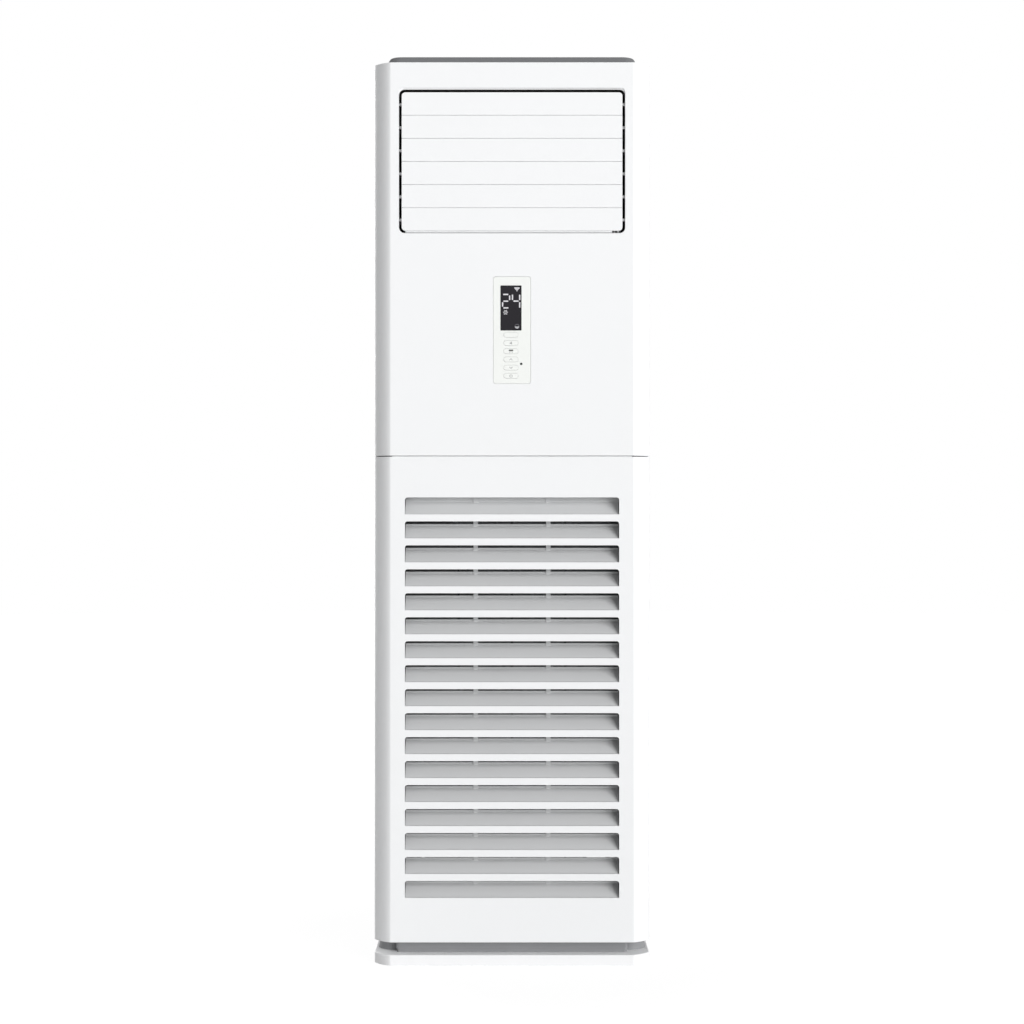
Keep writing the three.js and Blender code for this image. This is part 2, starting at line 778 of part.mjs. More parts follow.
place('upper_front_panel', upperFrontPanel(), finishes.whitePanel);
place('lower_front_panel', lowerFrontPanel(), finishes.whitePanel);
place('filter_frame', filterFrame(), finishes.blackPlastic);

// ---------------------------------------------------------------- air outlet

const louvrePivotY = frontY + louvrePivotDepth;
const louvreHalfLength = outletHalfWidth - louvreSideGap;
const ductOuterX = outletHalfWidth + ductWall;
const ductTopZ = outletTopZ + ductWall;
const crankX = louvreHalfLength - crankFromEnd;
const linkX = crankX + fitGap;
const vanePivotY = frontY + vanePivotDepth;

function louvreZ(index) {
  return outletTopZ - louvreEndGap - louvrePitch * (index + 0.5);
}

function vaneX(index) {
  return (index - (vaneCount - 1) / 2) * vanePitch;
}

// Rectangular duct behind the outlet, with the pivot holes of louvres and vanes.
function outletDuct() {
  const outerShape = outline(-ductOuterX, outletBottomZ - ductWall, ductOuterX, ductTopZ,
    outletCornerRadius + ductWall);
  const innerShape = outline(-outletHalfWidth, outletBottomZ, outletHalfWidth, outletTopZ,
    outletCornerRadius);
  const outer = frontal(outerShape, ductFrontY, ductBackY, 2);
  const inner = frontal(innerShape, ductFrontY - cut, ductBackY + cut, 2);
  const holes = [];
  for (let index = 0; index < louvreCount; index += 1) {
    const z = louvreZ(index);
    holes.push(rod([-ductOuterX - cut, louvrePivotY, z], [ductOuterX + cut, louvrePivotY, z],
      louvrePinRadius + pivotGap, pinSides));
  }
  for (let index = 0; index < vaneCount; index += 1) {
    const x = vaneX(index);
    holes.push(rod([x, vanePivotY, outletBottomZ - ductWall - cut], [x, vanePivotY, ductTopZ + cut],
      vanePinRadius + pivotGap, pinSides));
  }
  return cutAll(outer, [inner, ...holes]);
}

// One level louvre about its pivot: a thin blade with end pins and a crank for the link. The
// first and last blades follow the outlet's round corners.
function louvre(index) {
  const halfHeight = (louvrePitch - louvreEdgeGap) / 2;
  const face = -louvrePivotDepth;
  const rear = face + louvreThickness;
  const blade = sideways(polygon([
    [face, -halfHeight + louvreNose],
    [face, halfHeight - louvreNose],
    [face + louvreNose, halfHeight],
    [face + louvreEdge, halfHeight],
    [rear, halfHeight / 2],
    [rear, -halfHeight / 2],
    [face + louvreEdge, -halfHeight],
    [face + louvreNose, -halfHeight],
  ]), -louvreHalfLength, louvreHalfLength);
  const topRadius = index === 0 ? louvreCornerRadius : 0;
  const footRadius = index === louvreCount - 1 ? louvreCornerRadius : 0;
  const around = frontal(outline(-louvreHalfLength - cut, -halfHeight - cut, louvreHalfLength + cut,
    halfHeight + cut, 0), face - cut, rear + cut);
  const within = frontal(outline(-louvreHalfLength, -halfHeight, louvreHalfLength, halfHeight,
    footRadius, topRadius), face - 2 * cut, rear + 2 * cut);
  const rounding = around.subtract(within);
  const middle = rear - louvreEdge;
  const lugs = [-1, 1].map((side) => block(
    [side * louvreHalfLength - (side > 0 ? crankPlate : 0), middle, -louvreLug],
    [side * louvreHalfLength + (side > 0 ? 0 : crankPlate), louvreLug, louvreLug],
  ));
  const reach = index === 0 ? motorSocketDepth - fitGap : 0;
  const pin = rod([-ductOuterX, 0, 0], [ductOuterX + reach, 0, 0], louvrePinRadius, pinSides);
  const pinGap = block([-louvreHalfLength + cut, middle, -louvreLug],
    [louvreHalfLength - cut, louvreLug, louvreLug]);
  const root = new THREE.Vector2(middle, -halfHeight / 2);
  const tip = new THREE.Vector2(louvreCrankY, louvreCrankZ);
  const along = tip.clone().sub(root).normalize().multiplyScalar(crankWidth / 2);
  const across = new THREE.Vector2(-along.y, along.x);
  const round = Math.SQRT1_2;
  const crank = sideways(polygon([
    [root.x + across.x, root.y + across.y],
    [root.x - across.x, root.y - across.y],
    [tip.x - across.x, tip.y - across.y],
    [tip.x + (along.x - across.x) * round, tip.y + (along.y - across.y) * round],
    [tip.x + along.x, tip.y + along.y],
    [tip.x + (along.x + across.x) * round, tip.y + (along.y + across.y) * round],
    [tip.x + across.x, tip.y + across.y],
  ]), crankX - crankPlate, crankX);
  const linkPin = rod([crankX - crankPlate / 2, tip.x, tip.y],
    [linkX + linkThickness + fitGap, tip.x, tip.y], linkPinRadius, pinSides);
  return join([blade.subtract(rounding), pin.subtract(pinGap), ...lugs, crank, linkPin]);
}

// Upright bar that carries the cranks of all louvres.
function louvreLink() {
  const y = louvrePivotY + louvreCrankY;
  const topPinZ = louvreZ(0) + louvreCrankZ;
  const lowPinZ = louvreZ(louvreCount - 1) + louvreCrankZ;
  const half = linkWidth / 2;
  const bar = sideways(polygon([
    [y - half, lowPinZ],
    [y - half / 2, lowPinZ - half],
    [y + half / 2, lowPinZ - half],
    [y + half, lowPinZ],
    [y + half, topPinZ],
    [y + half / 2, topPinZ + half],
    [y - half / 2, topPinZ + half],
    [y - half, topPinZ],
  ]), linkX, linkX + linkThickness);
  const holes = [];
  for (let index = 0; index < louvreCount; index += 1) {
    const z = louvreZ(index) + louvreCrankZ;
    holes.push(rod([linkX - cut, y, z], [linkX + linkThickness + cut, y, z],
      linkPinRadius + pivotGap, pinSides));
  }
  return cutAll(bar, holes);
}

// Geared motor on the duct's right wall, in line with the top louvre's pin.
function louvreMotor() {
  const z = louvreZ(0);
  const x = ductOuterX + fitGap;
  const boxFrontY = panelInnerY + 2 * fitGap;
  const motorY = boxFrontY + gearboxDepth - smallMotorRadius;
  const gearbox = block([x, boxFrontY, z - gearboxHeight / 2],
    [x + gearboxWidth, boxFrontY + gearboxDepth, z + gearboxHeight / 2]);
  const can = rod([x, motorY, z], [x + smallMotorLength, motorY, z],
    smallMotorRadius, canSides);
  const socket = rod([x - cut, louvrePivotY, z], [x + motorSocketDepth, louvrePivotY, z],
    louvrePinRadius + pivotGap, pinSides);
  return gearbox.add(can).subtract(socket);
}

// One upright vane about its pivot, with pins at both ends and a tab for the link.
function vane(isDriven) {
  const lowZ = outletBottomZ + vaneEndGap;
  const highZ = outletTopZ - vaneEndGap;
  const half = vaneThickness / 2;
  const plate = raised(polygon([
    [-half / 2, -vaneFront],
    [half / 2, -vaneFront],
    [half, -vaneFront / 2],
    [half, vaneBack],
    [-half, vaneBack],
    [-half, -vaneFront / 2],
  ]), lowZ, highZ);
  const reach = isDriven ? motorSocketDepth - fitGap : 0;
  const bossLength = 3 * vanePinRadius;
  const lowPin = rod([0, 0, outletBottomZ - ductWall], [0, 0, lowZ + bossLength],
    vanePinRadius, pinSides);
  const highPin = rod([0, 0, highZ - bossLength], [0, 0, ductTopZ + reach], vanePinRadius, pinSides);
  const tabZ = outletCentreZ + linkThickness / 2 + fitGap;
  const tab = block([-vaneTabWidth / 2, vaneBack - vaneTabWidth, tabZ],
    [vaneTabWidth / 2, vaneCrank + vaneTabWidth / 2, tabZ + vaneTabHeight]);
  const linkPin = rod([0, vaneCrank, tabZ - linkThickness - 2 * fitGap], [0, vaneCrank, tabZ + cut],
    linkPinRadius, pinSides);
  return join([plate, lowPin, highPin, tab, linkPin]);
}

// Level bar that carries the tabs of all vanes.
function vaneLink() {
  const y = vanePivotY + vaneCrank;
  const half = linkWidth / 2;
  const firstX = vaneX(0);
  const lastX = vaneX(vaneCount - 1);
  const z0 = outletCentreZ - linkThickness / 2;
  const bar = raised(outline(firstX - half, y - half, lastX + half, y + half, half / 2),
    z0, z0 + linkThickness, 1);
  const holes = [];
  for (let index = 0; index < vaneCount; index += 1) {
    const x = vaneX(index);
    holes.push(rod([x, y, z0 - cut], [x, y, z0 + linkThickness + cut],
      linkPinRadius + pivotGap, pinSides));
  }
  return cutAll(bar, holes);
}

// Small motor on top of the duct, in line with the first vane's pin.
function vaneMotor() {
  const x = vaneX(0);
  const z = ductTopZ + fitGap;
  const can = rod([x, vanePivotY, z], [x, vanePivotY, z + smallMotorLength], smallMotorRadius,
    canSides);
  const ears = block([x - smallMotorEarReach, vanePivotY - louvreLug, z],
    [x + smallMotorEarReach, vanePivotY + louvreLug, z + sheetWall]);
  const socket = rod([x, vanePivotY, z - cut], [x, vanePivotY, z + motorSocketDepth],
    vanePinRadius + pivotGap, pinSides);
  return can.add(ears).subtract(socket);
}

place('outlet_duct', outletDuct(), finishes.blackPlastic);
for (let index = 0; index < louvreCount; index += 1) {
  place(`louvre_${index + 1}`, louvre(index), finishes.whitePanel,
    [0, louvrePivotY, louvreZ(index)]);
}
place('louvre_link', louvreLink(), finishes.whitePanel);
place('louvre_motor', louvreMotor(), finishes.blackPlastic);
for (let index = 0; index < vaneCount; index += 1) {
  place(`vane_${index + 1}`, vane(index === 0), finishes.whitePanel,
    [vaneX(index), vanePivotY, 0]);
}
place('vane_link', vaneLink(), finishes.whitePanel);
place('vane_motor', vaneMotor(), finishes.blackPlastic);

// ---------------------------------------------------------------- controls

const windowZ = bezelTopZ - displayTopMargin - displayHeight / 2;
const receiverZ = bezelTopZ - receiverBelowBezelTop;
const buttonLipY = bezelBackY + fitGap;
const switchFrontY = buttonLipY + buttonLipThickness + buttonTravel + fitGap;

function buttonZ(index) {
  return bezelTopZ - firstButtonBelowBezelTop - index * buttonPitch;
}

// An outline centred on a point of the control panel.
function centred(x, z, width, height, radius) {
  return outline(x - width / 2, z - height / 2, x + width / 2, z + height / 2, radius);
}

// Bezel with its window, buttons' holes and receiver hole, held from behind by a lip.
function controlBezel() {
  const face = frontal(centred(0, bezelCentreZ, bezelWidth, bezelHeight, bezelCornerRadius),
    bezelFrontY, bezelBackY);
  const lip = frontal(centred(0, bezelCentreZ, bezelWidth + 2 * bezelLip,
    bezelHeight + 2 * bezelLip, bezelCornerRadius), panelInnerY + fitGap, bezelBackY);
  const cutFront = bezelFrontY - cut;
  const cutBack = bezelBackY + cut;
  const cutters = [
    frontal(centred(displayShift, windowZ, displayWidth, displayHeight, 1), cutFront, cutBack, 1),
    rod([receiverShift, cutFront, receiverZ], [receiverShift, cutBack, receiverZ],
      receiverRadius + fitGap, boreSides),
  ];
  for (let index = 0; index < buttonCount; index += 1) {
    cutters.push(frontal(centred(displayShift, buttonZ(index), buttonWidth, buttonHeight,
      buttonHeight / 2 - fitGap), cutFront, cutBack, 1));
  }
  const bossX = bezelWidth / 2 - bossInset;
  const bossZ = bezelHeight / 2 - bossInset;
  const bosses = [[-1, -1], [1, -1], [-1, 1], [1, 1]].map(([sideX, sideZ]) => rod(
    [sideX * bossX, bezelBackY - cut, bezelCentreZ + sideZ * bossZ],
    [sideX * bossX, boardFrontY - fitGap, bezelCentreZ + sideZ * bossZ],
    bossRadius,
    pinSides,
  ));
  return join([cutAll(face.add(lip), cutters), ...bosses]);
}

function button() {
  const width = buttonWidth - 2 * fitGap;
  const height = buttonHeight - 2 * fitGap;
  const pill = frontal(centred(0, 0, width, height, height / 2 - fitGap),
    bezelFrontY - buttonProud, buttonLipY + buttonLipThickness, 1);
  const lip = frontal(centred(0, 0, width + 2 * buttonLip, height + 2 * buttonLip, buttonLip),
    buttonLipY, buttonLipY + buttonLipThickness, 1);
  return pill.add(lip);
}

// Circuit board with the display module, one switch behind each button and the receiver.
function displayBoard() {
  const halfX = bezelWidth / 2 - boardMargin;
  const halfZ = bezelHeight / 2 - boardMargin;
  const backFace = boardFrontY + boardThickness;
  const inset = 2 * fitGap;
  const board = block([-halfX, boardFrontY, bezelCentreZ - halfZ],
    [halfX, backFace, bezelCentreZ + halfZ]);
  const display = block(
    [displayShift - displayWidth / 2 + inset, bezelBackY + cut, windowZ - displayHeight / 2 + inset],
    [displayShift + displayWidth / 2 - inset, boardFrontY + boardThickness / 2,
      windowZ + displayHeight / 2 - inset],
  );
  const switches = [];
  for (let index = 0; index < buttonCount; index += 1) {
    const z = buttonZ(index);
    switches.push(block([displayShift - switchSize / 2, switchFrontY, z - switchSize / 2],
      [displayShift + switchSize / 2, boardFrontY + boardThickness / 2, z + switchSize / 2]));
  }
  return join([board, display, ...switches]);
}

place('control_bezel', controlBezel(), finishes.bezel);
place('display_window', frontal(centred(displayShift, windowZ, displayWidth - 2 * fitGap,
  displayHeight - 2 * fitGap, 1), bezelFrontY, bezelBackY + fitGap, 1), finishes.display);
place('receiver_lens', rod([receiverShift, bezelFrontY, receiverZ],
  [receiverShift, bezelBackY + fitGap, receiverZ], receiverRadius, boreSides), finishes.display);
place('display_board', displayBoard(), finishes.board);
for (let index = 0; index < buttonCount; index += 1) {
  place(`button_${index + 1}`, button(), finishes.bezel, [displayShift, 0, buttonZ(index)]);
}

// ---------------------------------------------------------------- fan

const scrollStartRadius = wheelRadius + scrollTongueGap;
const scrollEndRadius = scrollStartRadius + scrollGrowth;
const inletPlateBackY = scrollFrontY - fitGap;
const inletPlateFrontY = inletPlateBackY - scrollWall;
const motorFrontY = frontY + motorFrontDepth;
const motorBackY = motorFrontY + motorLength;

// A round form along Y about the fan's axis, with its own radius at each end.
function turned(y0, radius0, y1, radius1, sides) {
  const form = new THREE.CylinderGeometry(radius1, radius0, y1 - y0, sides);
  return solidOf(form.translate(0, (y0 + y1) / 2, fanZ));
}

// The scroll's outline seen from the front: a growing spiral, and a duct that rises from it.
// The hollow is the same outline drawn inward by the wall, with its spiral begun a little sooner.
function scrollForm(inward, y0, y1, topZ) {
  const tongue = THREE.MathUtils.degToRad(scrollTongueAngle);
  const lead = THREE.MathUtils.degToRad(scrollTongueLead) * (inward / scrollWall);
  const start = tongue - lead;
  const spiral = [[0, fanZ]];
  for (let step = 0; step <= scrollSteps; step += 1) {
    const angle = start + ((2 * Math.PI - start) * step) / scrollSteps;
    const growth = (scrollGrowth * Math.max(angle - tongue, 0)) / (2 * Math.PI - tongue);
    const radius = scrollStartRadius + growth + scrollWall - inward;
    spiral.push([radius * Math.cos(angle), fanZ + radius * Math.sin(angle)]);
  }
  const tongueRadius = scrollStartRadius + scrollWall;
  const tongueX = tongueRadius * Math.cos(tongue) + scrollTongueSlope * inward;
  const ductX = scrollEndRadius + scrollWall - inward;
  const duct = [
    [0, fanZ],
    [ductX, fanZ],
    [ductX, topZ],
    [-wheelRadius + inward, topZ],
    [tongueX, fanZ + tongueRadius * Math.sin(tongue)],
  ];
  return frontal(polygon(spiral), y0, y1).add(frontal(polygon(duct), y0, y1));
}

// Spiral wall and back plate in one piece, open in front and at the top.
function scrollHousing() {
  const topZ = deckZ - fitGap;
  const outer = scrollForm(0, scrollFrontY + scrollWall + fitGap, scrollBackY, topZ);
  const inner = scrollForm(scrollWall, scrollFrontY, scrollBackY - scrollWall, topZ + cut);
  return outer.subtract(inner);
}

function scrollCover() {
  const plate = scrollForm(0, scrollFrontY, scrollFrontY + scrollWall, deckZ - fitGap);
  const radius = inletRadius + inletHornFlare + 2 * scrollWall;
  return plate.subtract(turned(scrollFrontY - cut, radius, scrollFrontY + scrollWall + cut,
    radius, wheelSides));
}

// Square plate with the inlet horn that leads air into the wheel.
function inletPlate() {
  const mouth = inletRadius + inletHornFlare;
  const hornBackY = inletPlateBackY + inletHornDepth;
  const holeZ = fanZ + inletFlangeHalfHeight - inletHoleDrop;
  const plate = block([-inletFlangeHalfWidth, inletPlateFrontY, fanZ - inletFlangeHalfHeight],
    [inletFlangeHalfWidth, inletPlateBackY, fanZ + inletFlangeHalfHeight]);
  const horn = turned(inletPlateFrontY, mouth + scrollWall, hornBackY, inletRadius + scrollWall,
    discSides);
  const bore = turned(inletPlateFrontY - cut, mouth + cut, hornBackY + cut, inletRadius - cut,
    discSides);
  const holes = [-1.5, -0.5, 0.5, 1.5].map((place) => rod(
    [place * inletHoleSpread, inletPlateFrontY - cut, holeZ],
    [place * inletHoleSpread, inletPlateBackY + cut, holeZ],
    inletHoleRadius,
    pinSides,
  ));
  return cutAll(plate.add(horn), [bore, ...holes]);
}

function fanWheel() {
  const plateFrontY = wheelBackY - wheelPlate;
  const disc = turned(plateFrontY, wheelRadius, wheelBackY, wheelRadius, wheelSides);
  const ring = turned(wheelFrontY, wheelRadius, wheelFrontY + wheelPlate, wheelRadius, wheelSides);
  const eye = turned(wheelFrontY - cut, wheelRadius - wheelRingWidth,
    wheelFrontY + wheelPlate + cut, wheelRadius - wheelRingWidth, wheelSides);
  const bore = turned(plateFrontY - cut, shaftRadius + pivotGap, wheelBackY + cut,
    shaftRadius + pivotGap, boreSides);
  const outerRadius = wheelRadius - wheelPlate / 2;
  const lean = THREE.MathUtils.degToRad(wheelBladeLean);
  const blades = [];
  for (let index = 0; index < wheelBladeCount; index += 1) {
    const base = (2 * Math.PI * index) / wheelBladeCount;
    const inside = [];
    const outside = [];
    for (const share of [0, 0.5, 1]) {
      const radius = wheelBladeInner + (outerRadius - wheelBladeInner) * share;
      const angle = base + lean * share * share;
      const half = wheelBladeWall / 2 / radius;
      inside.push([radius * Math.cos(angle - half), fanZ + radius * Math.sin(angle - half)]);
      outside.unshift([radius * Math.cos(angle + half), fanZ + radius * Math.sin(angle + half)]);
    }
    blades.push(frontal(polygon([...inside, ...outside]), wheelFrontY + wheelPlate / 2,
      wheelBackY - wheelPlate / 2));
  }
  return join([disc.subtract(bore), ring.subtract(eye), ...blades]);
}

// Shaft with its hub flange behind the wheel's plate and a nut in front of it.
function fanShaft() {
  const shaft = turned(motorBackY - shaftBearingDepth + pivotGap, shaftRadius,
    wheelBackY + hubLength, shaftRadius, boreSides);
  const flange = turned(wheelBackY + fitGap, hubRadius, wheelBackY + hubLength, hubRadius, canSides);
  const nutBackY = wheelBackY - wheelPlate - fitGap;
  const nut = turned(nutBackY - hubLength, hubNutRadius, nutBackY, hubNutRadius, hexSides);
  return join([shaft, flange, nut]);
}

function fanMotor() {
  const rim = motorRadius - motorRimInset;
  const bearingRadius = shaftRadius + pivotGap;
  const body = join([
    turned(motorFrontY, rim, motorFrontY + motorRimDepth, motorRadius, discSides),
    turned(motorFrontY + motorRimDepth, motorRadius, motorBackY - motorRimDepth, motorRadius, discSides),
    turned(motorBackY - motorRimDepth, motorRadius, motorBackY, rim, discSides),
  ]);
  return body.subtract(turned(motorBackY - shaftBearingDepth, bearingRadius, motorBackY + cut,
    bearingRadius, boreSides));
}

// Two upright straps that stand on the inlet plate and carry the motor in front of the wheel.
function motorBracket() {
  const backFace = motorFrontY - fitGap;
  const frontFace = backFace - bracketPlate;
  const halfZ = inletFlangeHalfHeight - bracketEndMargin;
  const footY = inletPlateFrontY - fitGap;
  const straps = [-1, 1].map((side) => {
    const x0 = side * bracketArmShift - bracketArmWidth / 2;
    return sideways(polygon([
      [footY, fanZ - halfZ],
      [frontFace, fanZ - halfZ],
      [frontFace, fanZ + halfZ],
      [footY, fanZ + halfZ],
      [footY, fanZ + halfZ - bracketPlate],
      [backFace, fanZ + halfZ - bracketPlate],
      [backFace, fanZ - halfZ + bracketPlate],
      [footY, fanZ - halfZ + bracketPlate],
    ]), x0, x0 + bracketArmWidth);
  });
  const disc = turned(frontFace, bracketDiscRadius, backFace, bracketDiscRadius, discSides);
  return join([disc, ...straps]);
}

place('scroll_housing', scrollHousing(), finishes.galvanised);
place('scroll_cover', scrollCover(), finishes.galvanised);
place('inlet_plate', inletPlate(), finishes.galvanised);
place('fan_wheel', fanWheel(), finishes.wheel);
place('fan_shaft', fanShaft(), finishes.steel);
place('fan_motor', fanMotor(), finishes.motor);
place('motor_bracket', motorBracket(), finishes.galvanised);

// ---------------------------------------------------------------- coil, drain and pipes

const panFloorZ = deckTopZ + fitGap;
const panHalfLength = coilHalfWidth + panEndMargin;
const panFrontY = frontY + panFrontDepth;
const panBackY = frontY + panBackDepth;
const tiltAngle = THREE.MathUtils.degToRad(coilTilt);
const coilHalfDepth = coilThickness / 2 + coilEndLip;
const coilFoot = new THREE.Vector3(
  0,
  frontY + coilFootDepth,
  panFloorZ + panWall + fitGap + coilHalfDepth * Math.sin(tiltAngle),
);
const pipeX = halfWidth - pipeSideMargin;

// A place on the tilted coil: across, through its thickness, and up along it.
function onCoil(x, through, up) {
  const point = new THREE.Vector3(x, through, up);
  return point.applyAxisAngle(new THREE.Vector3(1, 0, 0), -tiltAngle).add(coilFoot);
}

// Deck between fan and coil, with holes for the scroll's mouth and the pipes.
function fanDeck() {
  const deckFrontY = steelFrontY + sheetWall + fitGap;
  const deckBackY = backInnerY - sheetWall - 2 * fitGap;
  const sideX = steelInnerX - fitGap;
  const sheet = sideways(polygon([
    [deckFrontY, deckZ - sheetFlange],
    [deckFrontY + sheetWall, deckZ - sheetFlange],
    [deckFrontY + sheetWall, deckZ],
    [deckBackY, deckZ],
    [deckBackY, deckTopZ],
    [deckFrontY, deckTopZ],
  ]), -sideX, sideX);
  const mouth = block([-wheelRadius + scrollWall, scrollFrontY + scrollWall, deckZ - cut],
    [scrollEndRadius, scrollBackY - scrollWall, deckTopZ + cut]);
  const pipeHoles = [
    [gasPipeY, gasPipeRadius],
    [liquidPipeY, liquidPipeRadius],
  ].map(([y, radius]) => rod([pipeX, y, deckZ - cut], [pipeX, y, deckTopZ + cut],
    radius + pipeHoleGap, boreSides));
  const hoseHalf = hoseRadius + pipeHoleGap;
  const hoseSlot = raised(outline(panHalfLength + pipeHoleGap, hosePipeY - hoseHalf,
    pipeX + hoseHalf, hosePipeY + hoseHalf, pipeHoleGap), deckZ - cut, deckTopZ + cut, 1);
  return cutAll(sheet, [mouth, ...pipeHoles, hoseSlot]);
}

function drainPan() {
  const tray = block([-panHalfLength, panFrontY, panFloorZ],
    [panHalfLength, panBackY, panFloorZ + panHeight]);
  const hollow = block([-panHalfLength + panWall, panFrontY + panWall, panFloorZ + panWall],
    [panHalfLength - panWall, panBackY - panWall, panFloorZ + panHeight + cut]);
  const spoutZ = panFloorZ + hoseRadius;
  const spout = rod([panHalfLength - panWall / 2, hosePipeY, spoutZ],
    [panHalfLength + spoutLength, hosePipeY, spoutZ], hoseRadius - cut, boreSides);
  const bore = rod([panHalfLength - 2 * panWall, hosePipeY, spoutZ],
    [panHalfLength + spoutLength + cut, hosePipeY, spoutZ], spoutBore);
  return tray.subtract(hollow).add(spout).subtract(bore);
}

// Finned coil between two end plates, with return bends on the left and a header on the right.
function evaporator() {
  const fins = block([-coilHalfWidth, -coilThickness / 2, coilEndLip],
    [coilHalfWidth, coilThickness / 2, coilLength - coilEndLip]);
  const plateX = coilHalfWidth + coilEndPlate;
  const plates = [-1, 1].map((side) => block(
    [Math.min(side * (coilHalfWidth - cut), side * plateX), -coilHalfDepth, 0],
    [Math.max(side * (coilHalfWidth - cut), side * plateX), coilHalfDepth, coilLength],
  ));
  const clearUp = panHeight / Math.cos(tiltAngle) + 2 * coilBendRadius;
  const bends = [];
  for (let index = 0; index < coilBendCount; index += 1) {
    const z = clearUp + ((coilLength - clearUp) * (index + coilFirstBend)) / coilBendCount;
    const x = -coilHalfWidth;
    bends.push(pipe([
      [x, 0, z - coilBendRadius],
      [x - coilBendRadius, 0, z - coilBendRadius],
      [x - 2 * coilBendRadius, 0, z],
      [x - coilBendRadius, 0, z + coilBendRadius],
      [x, 0, z + coilBendRadius],
    ], coilTubeRadius, 6));
  }
  const headerX = plateX + coilHeaderRadius - cut;
  const header = rod([headerX, -coilHeaderRadius, clearUp],
    [headerX, -coilHeaderRadius, coilLength - 2 * coilHeaderRadius], coilHeaderRadius,
    boreSides);
  return join([fins, ...plates, ...bends, header]);
}

// A refrigerant pipe from the coil's right end down the side to a flared nut at the exit.
function linePipe(radius, runY, up, endX, endZ) {
  const through = coilHeaderRadius + radius / 2;
  const start = onCoil(coilHalfWidth + coilEndPlate + fitGap, through, up);
  const endY = backY - pipeEndBack;
  const route = [
    [start.x, start.y, start.z],
    [start.x + 2 * radius, start.y, start.z],
    [pipeX, (start.y + runY) / 2, start.z - 3 * radius],
    [pipeX, runY, deckTopZ + 2 * radius],
    [pipeX, runY, deckZ - exitHeight],
    [pipeX, runY, fanZ],
    [pipeX, runY, exitHeight + 6 * gasPipeRadius],
    [(pipeX + endX) / 2, (runY + endY) / 2, endZ + gasPipeRadius],
    [endX, endY - 2 * gasPipeRadius, endZ],
    [endX, endY, endZ],
  ];
  const nut = rod([endX, endY - 2 * radius, endZ], [endX, endY, endZ], 1.5 * radius, hexSides);
  return pipe(route, radius, 32).add(nut);
}

// Drain hose from the pan's spout down beside the fan to the same exit.
function drainHose() {
  const z = panFloorZ + hoseRadius;
  const x = panHalfLength + spoutLength + fitGap;
  const endY = backY - pipeEndBack;
  return pipe([
    [x, hosePipeY, z],
    [x + hoseRadius / 2, hosePipeY, z],
    [x + 1.5 * hoseRadius, hosePipeY, z - hoseRadius / 2],
    [pipeX, hosePipeY, deckZ - 2 * hoseRadius],
    [pipeX, hosePipeY, deckZ - exitHeight],
    [pipeX, hosePipeY, fanZ],
    [pipeX, hosePipeY, exitHeight + 5 * hoseRadius],
    [pipeX, hosePipeY / 2, exitHeight - 4 * hoseRadius],
    [pipeX - 2 * hoseRadius, gasPipeY, exitHeight - 5 * hoseRadius],
    [exitX + hoseRadius, endY - 4 * hoseRadius, exitHeight - 3 * hoseRadius],
    [exitX, endY, exitHeight - 2 * hoseRadius],
  ], hoseRadius, 32);
}

place('fan_deck', fanDeck(), finishes.galvanised);
place('drain_pan', drainPan(), finishes.foam);
place('evaporator', evaporator(), finishes.fins, coilFoot.toArray(), -tiltAngle);
place('gas_pipe', linePipe(gasPipeRadius, gasPipeY, coilLength / 3, exitX + pipeEndSpread,
  exitHeight + pipeEndRise), finishes.copper);
place('liquid_pipe', linePipe(liquidPipeRadius, liquidPipeY, coilLength / 6,
  exitX - pipeEndSpread, exitHeight + pipeEndRise), finishes.copper);
place('drain_hose', drainHose(), finishes.hose);

// ---------------------------------------------------------------- rail and control box

const railZ = upperPanelZ + plasticWall + fitGap;
const railTopZ = railZ + railHeight;
const boxFrontY = frontY + boxFrontDepth;
const boxBackY = boxFrontY + boxDepth;
const boxFloorZ = railTopZ + fitGap;

// Angle across the cabinet at the seam, which carries both front panels and the control box.
function frontRail() {
  const halfLength = halfWidth - railSideMargin;
  const railFrontY = returnBackY - railDepth;
  return sideways(polygon([
    [railFrontY, railTopZ - sheetWall],
    [returnBackY - sheetWall, railTopZ - sheetWall],
    [returnBackY - sheetWall, railZ],
    [returnBackY, railZ],
    [returnBackY, railTopZ],
    [railFrontY, railTopZ],
  ]), -halfLength, halfLength);
}

function controlBox() {
  const halfX = boxWidth / 2;
  const outer = block([-halfX, boxFrontY, boxFloorZ], [halfX, boxBackY, boxFloorZ + boxHeight]);
  const inner = block([-halfX + boxWall, boxFrontY - cut, boxFloorZ + boxWall],
    [halfX - boxWall, boxBackY - boxWall, boxFloorZ + boxHeight - boxWall]);
  return outer.subtract(inner);
}

function controlBoxCover() {
  const halfX = boxWidth / 2;
  const coverBackY = boxFrontY - fitGap;
  const sheet = block([-halfX, coverBackY - boxWall, boxFloorZ],
    [halfX, coverBackY, boxFloorZ + boxHeight]);
  const vents = [];
  for (let index = 0; index < boxVentCount; index += 1) {
    const z = boxFloorZ + boxHeight - (index + 2) * 3 * boxVentHeight;
    vents.push(block([-halfX + boxVentWidth / 2, coverBackY - boxWall - cut, z],
      [-halfX + 1.5 * boxVentWidth, coverBackY + cut, z + boxVentHeight]));
  }
  return cutAll(sheet, vents);
}

